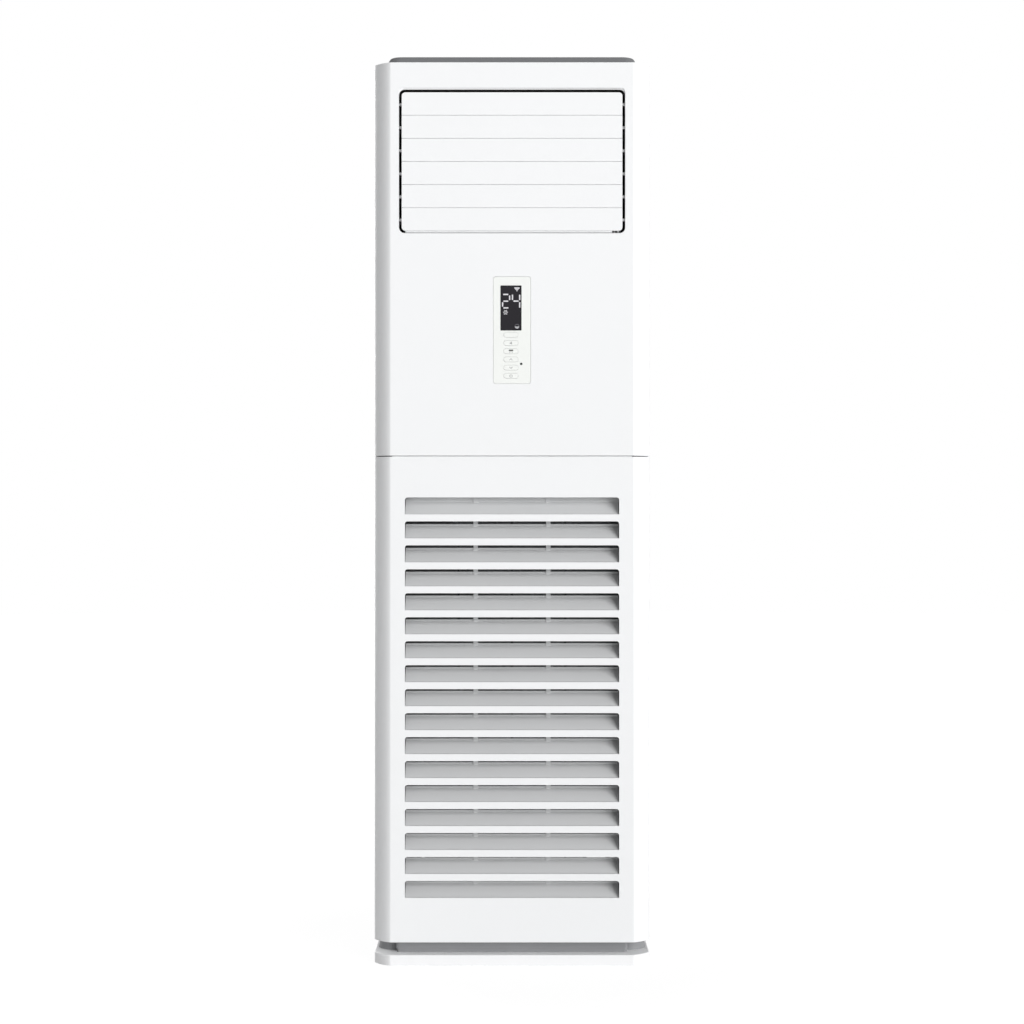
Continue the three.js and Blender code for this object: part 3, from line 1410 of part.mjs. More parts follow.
// Row of screw terminals on the box's floor.
function terminalBlock() {
  const z0 = boxFloorZ + boxWall + fitGap;
  const y0 = boxFrontY + terminalDepth / 2;
  const halfX = terminalWidth / 2;
  const base = block([-halfX, y0, z0], [halfX, y0 + terminalDepth, z0 + terminalHeight]);
  const wayWidth = terminalWidth / terminalWays;
  const wells = [];
  for (let index = 0; index < terminalWays; index += 1) {
    const x = -halfX + wayWidth * index;
    wells.push(block([x + terminalWall, y0 - cut, z0 + terminalHeight / 3],
      [x + wayWidth - terminalWall, y0 + terminalDepth / 2, z0 + terminalHeight + cut]));
  }
  return cutAll(base, wells);
}

place('front_rail', frontRail(), finishes.galvanised);
place('control_box', controlBox(), finishes.galvanised);
place('control_box_cover', controlBoxCover(), finishes.galvanised);
place('terminal_block', terminalBlock(), finishes.blackPlastic);

export default unit;
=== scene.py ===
import math
import bmesh
import bpy
from mathutils import Matrix, Vector


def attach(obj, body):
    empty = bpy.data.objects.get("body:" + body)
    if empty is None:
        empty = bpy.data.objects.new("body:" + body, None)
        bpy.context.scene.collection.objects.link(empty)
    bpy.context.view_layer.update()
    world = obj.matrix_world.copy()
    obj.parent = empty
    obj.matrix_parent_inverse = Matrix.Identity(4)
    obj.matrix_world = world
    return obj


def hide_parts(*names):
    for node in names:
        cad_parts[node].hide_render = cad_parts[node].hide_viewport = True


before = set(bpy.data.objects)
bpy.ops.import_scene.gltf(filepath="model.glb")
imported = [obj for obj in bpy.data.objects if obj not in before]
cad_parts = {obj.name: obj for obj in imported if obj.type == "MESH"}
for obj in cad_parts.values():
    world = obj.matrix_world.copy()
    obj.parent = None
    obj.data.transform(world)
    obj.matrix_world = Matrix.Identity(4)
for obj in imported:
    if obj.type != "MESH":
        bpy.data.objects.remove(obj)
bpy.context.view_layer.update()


# ---------------------------------------------------------------- the photographer's camera
# The camera stands square in front of the cabinet, 4.2 m from its middle and at about half its
# height, so that the sides stay hidden and the base tray's top shows a little.
camera_data = bpy.data.cameras.new("camera")
camera_data.lens = 72.1
camera_data.sensor_width = 36
camera = bpy.data.objects.new("camera", camera_data)
camera.location = (0, -4.2, 0.885)
camera.rotation_euler = (math.radians(90), 0, 0)
bpy.context.collection.objects.link(camera)
bpy.context.scene.camera = camera
bpy.context.scene.view_settings.view_transform = "Standard"


# ---------------------------------------------------------------- studio light and floor
# A broad soft light comes from far off, half right of the camera and a little above it, and a
# weaker soft box stands behind the cabinet. A pale room fills the rest. The floor is matt white
# card that fades into the white room.
def soft_box(name, place, aim, width, height, power):
    """A rectangular soft box that faces its aim, in metres and watts."""
    lamp = bpy.data.lights.new(name, "AREA")
    lamp.shape = "RECTANGLE"
    lamp.size = width
    lamp.size_y = height
    lamp.energy = power
    holder = bpy.data.objects.new(name, lamp)
    holder.location = place
    direction = Vector(aim) - Vector(place)
    holder.rotation_euler = direction.to_track_quat("-Z", "Y").to_euler()
    bpy.context.collection.objects.link(holder)


soft_box("rear_box", (-2.5, 3.7, 1.8), (0, 0, 0.9), 2.2, 3, 95)
key = bpy.data.lights.new("key_light", "SUN")
key.energy = 2.76
key.angle = math.radians(40)
key_holder = bpy.data.objects.new("key_light", key)
key_holder.location = (5, -5, 2)
key_holder.rotation_euler = Vector((-4.5, 5.15, -1.4)).to_track_quat("-Z", "Y").to_euler()
bpy.context.collection.objects.link(key_holder)


def colour(red, green, blue):
    """The shader's linear value of a colour that is written from 0 to 255, as on a screen."""
    linear = []
    for level in (red, green, blue):
        share = level / 255
        linear.append(share / 12.92 if share < 0.0405 else ((share + 0.055) / 1.055) ** 2.4)
    return (*linear, 1)


def seen_directly(nodes, links):
    """1 for rays from the camera, from gloss and through glass, 0 for light on things."""
    path = nodes.new("ShaderNodeLightPath")
    glossy = nodes.new("ShaderNodeMath")
    glossy.operation = "MAXIMUM"
    links.new(path.outputs["Is Camera Ray"], glossy.inputs[0])
    links.new(path.outputs["Is Glossy Ray"], glossy.inputs[1])
    glass = nodes.new("ShaderNodeMath")
    glass.operation = "MAXIMUM"
    links.new(glossy.outputs[0], glass.inputs[0])
    links.new(path.outputs["Is Transmission Ray"], glass.inputs[1])
    return glass.outputs[0]


room = bpy.data.worlds.new("white_room")
room.use_nodes = True
bpy.context.scene.world = room
nodes = room.node_tree.nodes
links = room.node_tree.links
nodes.clear()
fill = nodes.new("ShaderNodeBackground")
fill.inputs["Color"].default_value = (1, 1, 1, 1)
fill.inputs["Strength"].default_value = 0.31
backdrop = nodes.new("ShaderNodeBackground")
backdrop.inputs["Color"].default_value = (1, 1, 1, 1)
backdrop.inputs["Strength"].default_value = 1
choose = nodes.new("ShaderNodeMixShader")
links.new(seen_directly(nodes, links), choose.inputs["Fac"])
links.new(fill.outputs[0], choose.inputs[1])
links.new(backdrop.outputs[0], choose.inputs[2])
links.new(choose.outputs[0], nodes.new("ShaderNodeOutputWorld").inputs["Surface"])

card = bpy.data.materials.new("floor_card")
card.use_nodes = True
nodes = card.node_tree.nodes
links = card.node_tree.links
nodes.clear()
matt = nodes.new("ShaderNodeBsdfDiffuse")
matt.inputs["Color"].default_value = colour(238, 238, 238)
glow = nodes.new("ShaderNodeEmission")
glow.inputs["Strength"].default_value = 1.08
distance = nodes.new("ShaderNodeVectorMath")
distance.operation = "LENGTH"
links.new(nodes.new("ShaderNodeTexCoord").outputs["Object"], distance.inputs[0])
fade = nodes.new("ShaderNodeMapRange")
fade.inputs["From Min"].default_value = 0.45
fade.inputs["From Max"].default_value = 1.5
fade.inputs["To Min"].default_value = 0.86
links.new(distance.outputs["Value"], fade.inputs["Value"])
dimmed = nodes.new("ShaderNodeMath")
dimmed.operation = "MULTIPLY"
links.new(fade.outputs["Result"], dimmed.inputs[1])
links.new(seen_directly(nodes, links), dimmed.inputs[0])
choose = nodes.new("ShaderNodeMixShader")
links.new(dimmed.outputs[0], choose.inputs["Fac"])
links.new(matt.outputs[0], choose.inputs[1])
links.new(glow.outputs[0], choose.inputs[2])
links.new(choose.outputs[0], nodes.new("ShaderNodeOutputMaterial").inputs["Surface"])

bm = bmesh.new()
bmesh.ops.create_circle(bm, cap_ends=True, segments=64, radius=14)
floor_mesh = bpy.data.meshes.new("floor")
bm.to_mesh(floor_mesh)
bm.free()
floor_mesh.materials.append(card)
floor = bpy.data.objects.new("floor", floor_mesh)
bpy.context.collection.objects.link(floor)


# ---------------------------------------------------------------- base plate
# A tray pressed from sheet steel and powder-coated white. The whole cabinet is screwed on it.
# Its rim is rolled over, and its front corners follow the panels above.
mm = 0.001
half_width = 270
front_y, back_y = -200, 200
tray_top = 21
corner = 34
corner_profile = 0.37


def procedural(name, base, roughness, metallic=0.0):
    """A new material: its shader, its node tree and its object coordinates."""
    material = bpy.data.materials.new(name)
    material.use_nodes = True
    shader = material.node_tree.nodes["Principled BSDF"]
    shader.inputs["Base Color"].default_value = base
    shader.inputs["Roughness"].default_value = roughness
    shader.inputs["Metallic"].default_value = metallic
    place = material.node_tree.nodes.new("ShaderNodeTexCoord").outputs["Object"]
    return material, shader, material.node_tree, place


def noise(tree, place, scale, detail=3.0, stretch=(1, 1, 1)):
    """Soft noise in object space, finer with a larger scale and stretched along an axis."""
    mapping = tree.nodes.new("ShaderNodeMapping")
    mapping.inputs["Scale"].default_value = stretch
    tree.links.new(place, mapping.inputs["Vector"])
    texture = tree.nodes.new("ShaderNodeTexNoise")
    texture.inputs["Scale"].default_value = scale
    texture.inputs["Detail"].default_value = detail
    tree.links.new(mapping.outputs[0], texture.inputs["Vector"])
    return texture.outputs["Fac"]


def shaded(tree, factor, shader, socket, low, high):
    """Drives a colour socket between two colours."""
    ramp = tree.nodes.new("ShaderNodeMix")
    ramp.data_type = "RGBA"
    ramp.inputs["A"].default_value = low
    ramp.inputs["B"].default_value = high
    tree.links.new(factor, ramp.inputs["Factor"])
    tree.links.new(ramp.outputs["Result"], shader.inputs[socket])


def ranged(tree, factor, shader, socket, low, high):
    """Drives a number socket between two values."""
    spread = tree.nodes.new("ShaderNodeMapRange")
    spread.inputs["To Min"].default_value = low
    spread.inputs["To Max"].default_value = high
    tree.links.new(factor, spread.inputs["Value"])
    tree.links.new(spread.outputs["Result"], shader.inputs[socket])


def grained(tree, height, shader, depth):
    """A fine relief of the given depth in metres."""
    bump = tree.nodes.new("ShaderNodeBump")
    bump.inputs["Strength"].default_value = 1
    bump.inputs["Distance"].default_value = depth
    tree.links.new(height, bump.inputs["Height"])
    tree.links.new(bump.outputs["Normal"], shader.inputs["Normal"])


def toned(name, base, dark, light, scale, roughness, metallic=0.0):
    """A plain finish whose tone wavers a little between a darker and a lighter colour."""
    material, shader, tree, place = procedural(name, base, roughness, metallic)
    shaded(tree, noise(tree, place, scale), shader, "Base Color", dark, light)
    return material


def powder_coat(name, light, dark, roughness):
    """Baked paint on steel: a faint orange-peel relief and a barely uneven tone."""
    material, shader, tree, place = procedural(name, light, roughness)
    shaded(tree, noise(tree, place, 9), shader, "Base Color", dark, light)
    ranged(tree, noise(tree, place, 40), shader, "Roughness", roughness - 0.06, roughness + 0.06)
    grained(tree, noise(tree, place, 900, 2), shader, 0.00004)
    return material


def keep_flats(piece):
    """Large flat faces stay flat in the light, and only the curves between them turn."""
    even = piece.modifiers.new("even", "WEIGHTED_NORMAL")
    even.keep_sharp = True
    even.weight = 80


def piece_from(name, bm, finish, body, *nodes):
    """Makes a finished mesh of the bmesh. It rides on a body and stands for its CAD nodes."""
    bmesh.ops.recalc_face_normals(bm, faces=bm.faces)
    mesh = bpy.data.meshes.new(name)
    bm.to_mesh(mesh)
    bm.free()
    mesh.shade_smooth()
    mesh.set_sharp_from_angle(angle=math.radians(32))
    mesh.materials.append(finish)
    piece = bpy.data.objects.new(name, mesh)
    bpy.context.collection.objects.link(piece)
    keep_flats(piece)
    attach(piece, body)
    if nodes:
        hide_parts(*nodes)
    return piece


def block(bm, low, high):
    """Adds a box between two opposite corners, in millimetres, and returns its vertices."""
    middle = Vector(low).lerp(Vector(high), 0.5) * mm
    size = (Vector(high) - Vector(low)) * mm
    shape = bmesh.ops.create_cube(bm, size=1)
    bmesh.ops.scale(bm, vec=size, verts=shape["verts"])
    bmesh.ops.translate(bm, vec=middle, verts=shape["verts"])
    return shape["verts"]


def edges_where(bm, test):
    """The edges for which the test of their direction and middle, in millimetres, holds."""
    chosen = []
    for edge in bm.edges:
        start, end = (vertex.co for vertex in edge.verts)
        if test((end - start).normalized(), (start + end) / 2 / mm):
            chosen.append(edge)
    return chosen


def rounded(bm, edges, radius, segments, profile=0.5):
    """Rounds edges. A profile under a half leaves a soft crease at both ends of the curve."""
    bmesh.ops.bevel(bm, geom=edges, offset=radius * mm, affect="EDGES", segments=segments,
                    profile=profile, material=-1, clamp_overlap=True)


def rounded_uprights(bm, front, radius, segments, profile=0.5, rear_radius=6):
    """Rounds a box's upright edges: the ones in front of a depth, and then its rear ones."""
    rounded(bm, edges_where(bm, lambda way, mid: abs(way.z) > 0.9 and mid.y < front), radius,
            segments, profile)
    rounded(bm, edges_where(bm, lambda way, mid: abs(way.z) > 0.9 and mid.y > 100), rear_radius, 4)


def moved_on(bm, extruded, step):
    """Moves the vertices of an extrusion by a step in millimetres and returns them."""
    made = [item for item in extruded["geom"] if isinstance(item, bmesh.types.BMVert)]
    bmesh.ops.translate(bm, vec=Vector(step) * mm, verts=made)
    return made


def hollowed(bm, rim, depth):
    """Lifts the underside by a depth inside a rim of the given width, in millimetres."""
    underside = [face for face in bm.faces if face.normal.z < -0.9]
    bmesh.ops.inset_region(bm, faces=underside, thickness=rim * mm)
    underside = [face for face in bm.faces if face.normal.z < -0.9 and face.calc_area() > 0.05]
    hollow = bmesh.ops.extrude_face_region(bm, geom=underside)
    bmesh.ops.delete(bm, geom=underside, context="FACES")
    moved_on(bm, hollow, (0, 0, depth))


white_coat = powder_coat("white_powder_coat", colour(250, 250, 251), colour(246, 247, 248), 0.5)

bm = bmesh.new()
block(bm, (-half_width, front_y, 0), (half_width, back_y, tray_top))
rounded_uprights(bm, front_y + 1, corner, 14, corner_profile)
hollowed(bm, 12, tray_top - 2)
rounded(bm, edges_where(bm, lambda way, mid: mid.z > tray_top - 0.1 and abs(way.z) < 0.1), 2.5, 4)
foot = edges_where(bm, lambda way, mid: mid.z < 0.1
                   and (abs(mid.x) > half_width - 8 or abs(mid.y) > back_y - 8))
rounded(bm, [edge for edge in foot if len(edge.link_faces) == 2], 1.2, 2)
base = piece_from("base_tray", bm, white_coat, "cabinet", "base_plate")


# ---------------------------------------------------------------- plinth
# A grey painted skirt between the tray and the panels, folded from sheet steel. Its middle
# stands forward as a block, its ends step back round the corners, and it flares at its foot.
grey_coat = powder_coat("grey_powder_coat", colour(143, 144, 146), colour(138, 139, 141), 0.6)


def add_shape(bm, shape):
    """Adds a finished bmesh to another one and uses it up."""
    carrier = bpy.data.meshes.new("carrier")
    shape.to_mesh(carrier)
    shape.free()
    bm.from_mesh(carrier)
    bpy.data.meshes.remove(carrier)


plinth_top = 45
skirt_half, skirt_front, skirt_back = 260, -149, 192

bm = bmesh.new()
block(bm, (-skirt_half, skirt_front, tray_top), (skirt_half, skirt_back, plinth_top))
rounded_uprights(bm, skirt_front + 1, corner, 12)
flared = [vertex for vertex in bm.verts if vertex.co.z < (tray_top + 1) * mm]
bmesh.ops.scale(bm, vec=(1.019, 1.025, 1), verts=flared)
front = bmesh.new()
block(front, (-227.5, -175, 28.5), (227.5, -115, plinth_top - 0.2))
block(front, (-226, -173, tray_top + 0.1), (226, -115, 28.6))
rounded(front, edges_where(front, lambda way, mid: abs(way.z) > 0.9 and mid.y < -170), 6, 5)
rounded(front, edges_where(front, lambda way, mid: abs(way.x) > 0.9 and mid.y < -170), 0.8, 3)
add_shape(bm, front)
plinth = piece_from("plinth_skirt", bm, grey_coat, "cabinet", "plinth")


# ---------------------------------------------------------------- steel sides
# Two sheets folded to channels and powder-coated. Narrow flanges turn inward in front, where
# the panels' returns meet them, and behind, where the back panel is screwed on.
def sheet_of(bm, path, rise, fold, wall):
    """Folds a sheet along a path of (x, y) corners, in millimetres, from the plinth up."""
    corners = [bm.verts.new(Vector((x, y, plinth_top)) * mm) for x, y in path]
    for start, end in zip(corners, corners[1:]):
        bm.edges.new((start, end))
    bmesh.ops.bevel(bm, geom=corners[1:-1], offset=fold * mm, affect="VERTICES", segments=4,
                    profile=0.5, material=-1)
    raised = bmesh.ops.extrude_edge_only(bm, edges=bm.edges[:])
    moved_on(bm, raised, (0, 0, rise))
    bmesh.ops.recalc_face_normals(bm, faces=bm.faces)
    bmesh.ops.solidify(bm, geom=bm.faces[:], thickness=wall * mm)


sheet_rise = 1715.5
sheet_gauge = 1.5
steel_front, steel_back = -137.7, 198.2
flange_x = half_width - 15
for side, node in ((-1, "side_panel_left"), (1, "side_panel_right")):
    bm = bmesh.new()
    sheet_of(bm, [(flange_x, steel_front), (half_width, steel_front), (half_width, steel_back),
                  (flange_x, steel_back)], sheet_rise, 2, sheet_gauge)
    bmesh.ops.scale(bm, vec=(side, 1, 1), verts=bm.verts)
    side_sheet = piece_from(node.replace("panel", "sheet"), bm, white_coat, "cabinet", node)


# ---------------------------------------------------------------- fan and its housing
# The scroll, its cover, the inlet horn, the motor's bracket and the deck above are pressed and
# folded from galvanised sheet, screwed together. The wheel is moulded in grey plastic and sits
# on a steel shaft with a flange and a nut. The motor is a closed can, painted grey.
def galvanised_sheet(name, light, dark, roughness):
    """Hot-dipped zinc: large dull crystals, each with its own tone, over a rolled surface."""
    material, shader, tree, place = procedural(name, light, roughness, 0.75)
    crystals = tree.nodes.new("ShaderNodeTexVoronoi")
    crystals.inputs["Scale"].default_value = 90
    tree.links.new(place, crystals.inputs["Vector"])
    tone = tree.nodes.new("ShaderNodeSeparateColor")
    tree.links.new(crystals.outputs["Color"], tone.inputs["Color"])
    shaded(tree, tone.outputs["Red"], shader, "Base Color", dark, light)
    ranged(tree, tone.outputs["Green"], shader, "Roughness", roughness - 0.1, roughness + 0.12)
    grained(tree, noise(tree, place, 500, 2, (1, 1, 6)), shader, 0.00002)
    return material


def dress(finish, *names):
    """Gives CAD nodes whose shape is right as they are their finish."""
    for name in names:
        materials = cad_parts[name].data.materials
        materials.clear()
        materials.append(finish)


zinc_sheet = galvanised_sheet("galvanised_sheet", colour(188, 191, 195), colour(164, 168, 172),
                              0.42)
dress(zinc_sheet, "scroll_housing", "scroll_cover", "inlet_plate", "motor_bracket", "fan_deck")


def moulded(name, light, dark, roughness, grain=0.00003, grain_scale=1400):
    """Injection-moulded plastic: a spark-eroded grain, faint flow marks, even satin."""
    material, shader, tree, place = procedural(name, light, roughness)
    shaded(tree, noise(tree, place, 6, 2, (1, 1, 0.4)), shader, "Base Color", dark, light)
    ranged(tree, noise(tree, place, 55), shader, "Roughness", roughness - 0.05, roughness + 0.05)
    grained(tree, noise(tree, place, grain_scale, 1), shader, grain)
    return material


wheel_plastic = moulded("grey_wheel_plastic", (0.33, 0.35, 0.37, 1), (0.29, 0.31, 0.33, 1), 0.5)
dress(wheel_plastic, "fan_wheel")

shaft_steel, shader, tree, place = procedural("turned_steel", colour(205, 206, 208), 0.28, 1.0)
ranged(tree, noise(tree, place, 60, 2, (1, 30, 1)), shader, "Roughness", 0.2, 0.38)
grained(tree, noise(tree, place, 200, 2, (1, 40, 1)), shader, 0.00002)
dress(shaft_steel, "fan_shaft")

motor_coat = powder_coat("grey_motor_paint", colour(142, 146, 150), colour(134, 138, 142), 0.45)
dress(motor_coat, "fan_motor")


# ---------------------------------------------------------------- drain pan
# A white foam tray under the coil that catches its water, moulded from beads that still show
# as small cells. It lies on the fan deck.
foam, shader, tree, place = procedural("white_bead_foam", colour(238, 239, 238), 0.9)
beads = tree.nodes.new("ShaderNodeTexVoronoi")
beads.feature = "DISTANCE_TO_EDGE"
beads.inputs["Scale"].default_value = 260
tree.links.new(place, beads.inputs["Vector"])
seams = tree.nodes.new("ShaderNodeMapRange")
seams.inputs["From Max"].default_value = 0.12
tree.links.new(beads.outputs["Distance"], seams.inputs["Value"])
shaded(tree, seams.outputs["Result"], shader, "Base Color", colour(222, 223, 222),
       colour(241, 242, 241))
grained(tree, seams.outputs["Result"], shader, 0.0002)
dress(foam, "drain_pan")


# ---------------------------------------------------------------- coil
# Thin aluminium fins pressed on copper tubes, which turn back in bends at the left and end in
# a header at the right. Two galvanised plates hold it, leaning back over the drain pan.
fin_metal, shader, tree, place = procedural("fin_aluminium", colour(214, 217, 220), 0.38, 0.9)
shaded(tree, noise(tree, place, 30), shader, "Base Color", colour(198, 202, 207),
       colour(219, 222, 225))
ranged(tree, noise(tree, place, 120), shader, "Roughness", 0.32, 0.48)
copper, shader, tree, place = procedural("copper_tube", (0.72, 0.41, 0.24, 1), 0.3, 1.0)
shaded(tree, noise(tree, place, 25), shader, "Base Color", (0.55, 0.27, 0.15, 1),
       (0.76, 0.45, 0.28, 1))
ranged(tree, noise(tree, place, 90), shader, "Roughness", 0.22, 0.45)
grained(tree, noise(tree, place, 700, 2), shader, 0.00003)


def round_bar(bm, low, high, radius, sides=24):
    """Adds a round bar between two points, in millimetres."""
    start = Vector(low) * mm
    end = Vector(high) * mm
    turn = (end - start).to_track_quat("Z", "Y").to_matrix().to_4x4()
    bmesh.ops.create_cone(bm, cap_ends=True, segments=sides, radius1=radius * mm,
                          radius2=radius * mm, depth=(end - start).length,
                          matrix=Matrix.Translation((start + end) / 2) @ turn)


coil_foot = Vector((0, -96, 980.85)) * mm
coil_lean = Matrix.Translation(coil_foot) @ Matrix.Rotation(math.radians(-30), 4, "X")
coil_half, coil_depth, coil_length = 205, 28.5, 440
first_tube = 70.2
fin_pitch = 2

bm = bmesh.new()
for index in range(-102, 103):
    x = index * fin_pitch
    block(bm, (x - 0.1, -coil_depth, 5), (x + 0.1, coil_depth, coil_length - 5))
bmesh.ops.transform(bm, matrix=coil_lean, verts=bm.verts)
fins = piece_from("coil_fins", bm, fin_metal, "cabinet", "evaporator")

bm = bmesh.new()
for side in (-1, 1):
    near, far = sorted((side * (coil_half + 0.2), side * (coil_half + 2)))
    block(bm, (near, -coil_depth - 5, 0), (far, coil_depth + 5, coil_length))
bmesh.ops.transform(bm, matrix=coil_lean, verts=bm.verts)
plates = piece_from("coil_end_plates", bm, zinc_sheet, "cabinet", "evaporator")

bend_count = 7
bend_radius = 12
tube_radius = 4
bm = bmesh.new()
for index in range(bend_count):
    up = first_tube + (coil_length - first_tube) * (index + 0.3) / bend_count
    for run in (up - bend_radius, up + bend_radius):
        round_bar(bm, (-coil_half - 2.5, 0, run), (coil_half + 6, 0, run), tube_radius, 16)
    centre = Vector((-coil_half - 2, 0, up)) * mm
    start = Matrix.Translation(centre - Vector((0, 0, bend_radius)) * mm)
    bend = bmesh.new()
    bmesh.ops.create_circle(bend, segments=16, radius=tube_radius * mm,
                            matrix=start @ Matrix.Rotation(math.radians(90), 4, "Y"))
    bmesh.ops.spin(bend, geom=bend.verts[:] + bend.edges[:], axis=(0, 1, 0), cent=centre,
                   dvec=(0, 0, 0), angle=math.pi, steps=12, use_merge=False,
                   use_duplicate=False)
    bmesh.ops.holes_fill(bend, edges=bend.edges[:], sides=0)
    bmesh.ops.recalc_face_normals(bend, faces=bend.faces)
    add_shape(bm, bend)
header_x = coil_half + 10
round_bar(bm, (header_x, -8, first_tube), (header_x, -8, coil_length - 16), 7, 24)
bmesh.ops.transform(bm, matrix=coil_lean, verts=bm.verts)
tubes = piece_from("coil_tubes", bm, copper, "cabinet", "evaporator")


# ---------------------------------------------------------------- pipes and drain hose
# Two copper pipes lead from the coil's header down the side to flare nuts at the back, and a
# pale soft plastic hose takes the water from the pan to the same exit.
dress(copper, "gas_pipe", "liquid_pipe")
hose_plastic = moulded("pale_hose_plastic", (0.78, 0.78, 0.76, 1), (0.72, 0.72, 0.7, 1), 0.6)
dress(hose_plastic, "drain_hose")


# ---------------------------------------------------------------- seam rail and control box
# A galvanised angle across the seam carries both front panels. On it stands the folded box of
# the mains board with its cover, and a black moulded terminal block for the supply.
dress(zinc_sheet, "front_rail", "control_box", "control_box_cover")
black_plastic = moulded("black_moulded_plastic", colour(44, 45, 47), colour(38, 39, 41), 0.58)
dress(black_plastic, "terminal_block")


# ---------------------------------------------------------------- back panel
# A flat powder-coated sheet with three shallow pressed fields that stiffen it. Pan-head screws
# hold it to the sides' flanges, and it has a hole each for the pipes and the cable.
def cut_out(piece, cutters):
    """Cuts the shapes of the cutters out of the piece's own mesh and removes the cutters."""
    for cutter in cutters:
        opening = piece.modifiers.new("opening", "BOOLEAN")
        opening.operation = "DIFFERENCE"
        opening.solver = "EXACT"
        opening.object = cutter
    graph = bpy.context.evaluated_depsgraph_get()
    mesh = bpy.data.meshes.new_from_object(piece.evaluated_get(graph))
    piece.modifiers.clear()
    piece.data = mesh
    for cutter in cutters:
        bpy.data.objects.remove(cutter)


def loose(name, bm):
    """An object of the bmesh that is used up before the end."""
    bmesh.ops.recalc_face_normals(bm, faces=bm.faces)
    mesh = bpy.data.meshes.new(name)
    bm.to_mesh(mesh)
    bm.free()
    shape = bpy.data.objects.new(name, mesh)
    bpy.context.collection.objects.link(shape)
    return shape


bm = bmesh.new()
bmesh.ops.create_grid(bm, x_segments=1, y_segments=1, size=0.5)
bmesh.ops.scale(bm, vec=(2 * half_width * mm, sheet_rise * mm, 1), verts=bm.verts)
bmesh.ops.rotate(bm, matrix=Matrix.Rotation(math.radians(-90), 3, "X"), verts=bm.verts)
bmesh.ops.translate(bm, vec=Vector((0, back_y, plinth_top + sheet_rise / 2)) * mm,
                    verts=bm.verts)
field_levels = (270, 310, 760, 800, 1250, 1290, 1715)
field_half = 225
for level in field_levels:
    bmesh.ops.bisect_plane(bm, geom=bm.verts[:] + bm.edges[:] + bm.faces[:],
                           plane_co=(0, 0, level * mm), plane_no=(0, 0, 1))
for across in (-field_half, field_half):
    bmesh.ops.bisect_plane(bm, geom=bm.verts[:] + bm.edges[:] + bm.faces[:],
                           plane_co=(across * mm, 0, 0), plane_no=(1, 0, 0))
fields = [face for face in bm.faces
          if abs(face.calc_center_median().x) < 0.2 and face.calc_area() > 0.1]
for depth, inset in ((0, 4), (-1.2, 9), (0, 3)):
    bmesh.ops.inset_individual(bm, faces=fields, thickness=inset * mm, depth=depth * mm)
bmesh.ops.recalc_face_normals(bm, faces=bm.faces)
if bm.faces[0].normal.y < 0:
    bmesh.ops.reverse_faces(bm, faces=bm.faces)
back_sheet = loose("back_sheet", bm)
wall = back_sheet.modifiers.new("wall", "SOLIDIFY")
wall.thickness = sheet_gauge * mm
wall.offset = -1
hole_height = 150
cutters = []
for across, radius in ((190, 35), (-190, 11)):
    bm = bmesh.new()
    round_bar(bm, (across, back_y - 10, hole_height), (across, back_y + 10, hole_height), radius,
              48)
    cutters.append(loose("hole", bm))
cut_out(back_sheet, cutters)
back_sheet.data.shade_smooth()
back_sheet.data.set_sharp_from_angle(angle=math.radians(20))
back_sheet.data.materials.append(white_coat)
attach(back_sheet, "cabinet")
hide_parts("back_panel")

zinc, shader, tree, place = procedural("zinc_plating", colour(200, 202, 205), 0.32, 0.9)
shaded(tree, noise(tree, place, 300), shader, "Base Color", colour(176, 178, 182),
       colour(206, 208, 211))
grained(tree, noise(tree, place, 2500), shader, 0.00003)
# The screws' cross recesses are not cut. A flat dark cross on each head is painted shade and
# stands in for the shade inside the recess.
painted_recess_shade = toned("screw_cross_painted_shade", colour(70, 70, 72), colour(52, 52, 54), colour(80, 80, 82), 900,
               0.7, 0.4)

bm = bmesh.new()
heads = [(x, z) for x in (-262, 262) for z in (70, 350, 640, 930, 1220, 1500, 1735)]
heads += [(x, z) for z in (57, 1748) for x in (-130, 0, 130)]
for x, z in heads:
    head = bmesh.ops.create_cone(bm, cap_ends=True, segments=20, radius1=4.2 * mm,
                                 radius2=2.9 * mm, depth=1.8 * mm)["verts"]
    bmesh.ops.rotate(bm, matrix=Matrix.Rotation(math.radians(-90), 3, "X"), verts=head)
    bmesh.ops.translate(bm, vec=Vector((x, back_y + 0.9, z)) * mm, verts=head)
    # Each head gets a dark cross, painted shade for its recess.
    for width, height in ((3.6, 0.8), (0.8, 3.6)):
        cross = block(bm, (x - width / 2, back_y + 1.2, z - height / 2),
                      (x + width / 2, back_y + 1.86, z + height / 2))
        for face in {face for vertex in cross for face in vertex.link_faces}:
            face.material_index = 1
rear_screws = piece_from("back_panel_screws", bm, zinc, "cabinet")
rear_screws.data.materials.append(painted_recess_shade)


# ---------------------------------------------------------------- rubber bushes
# Black moulded bushes that protect the pipes and the cable where they leave the back panel.
# They snap into its punched holes.
rubber, shader, tree, place = procedural("black_rubber", colour(42, 42, 43), 0.8)
shaded(tree, noise(tree, place, 60), shader, "Base Color", colour(34, 34, 35),
       colour(52, 52, 53))
grained(tree, noise(tree, place, 1800), shader, 0.00008)
dress(rubber, "pipe_grommet", "cable_bush")


# ---------------------------------------------------------------- roof sheet
# The folded sheet that closes the cabinet's top. It is spot-welded to the sides, and its front
# edge meets the upper panel's rim.
dress(white_coat, "top_panel")


# ---------------------------------------------------------------- top cap
# A shallow cover moulded in dark grey plastic, drawn in towards its top, with a soft edge and a
# narrow shadow gap round its foot. It clips into the roof sheet.
cap_plastic = moulded("dark_grey_cap_plastic", colour(111, 112, 114), colour(107, 108, 110),
                      0.62, 0.00008, 1100)

cabinet_top = 1780
cap_half, cap_front, cap_back = 248, -174, 164

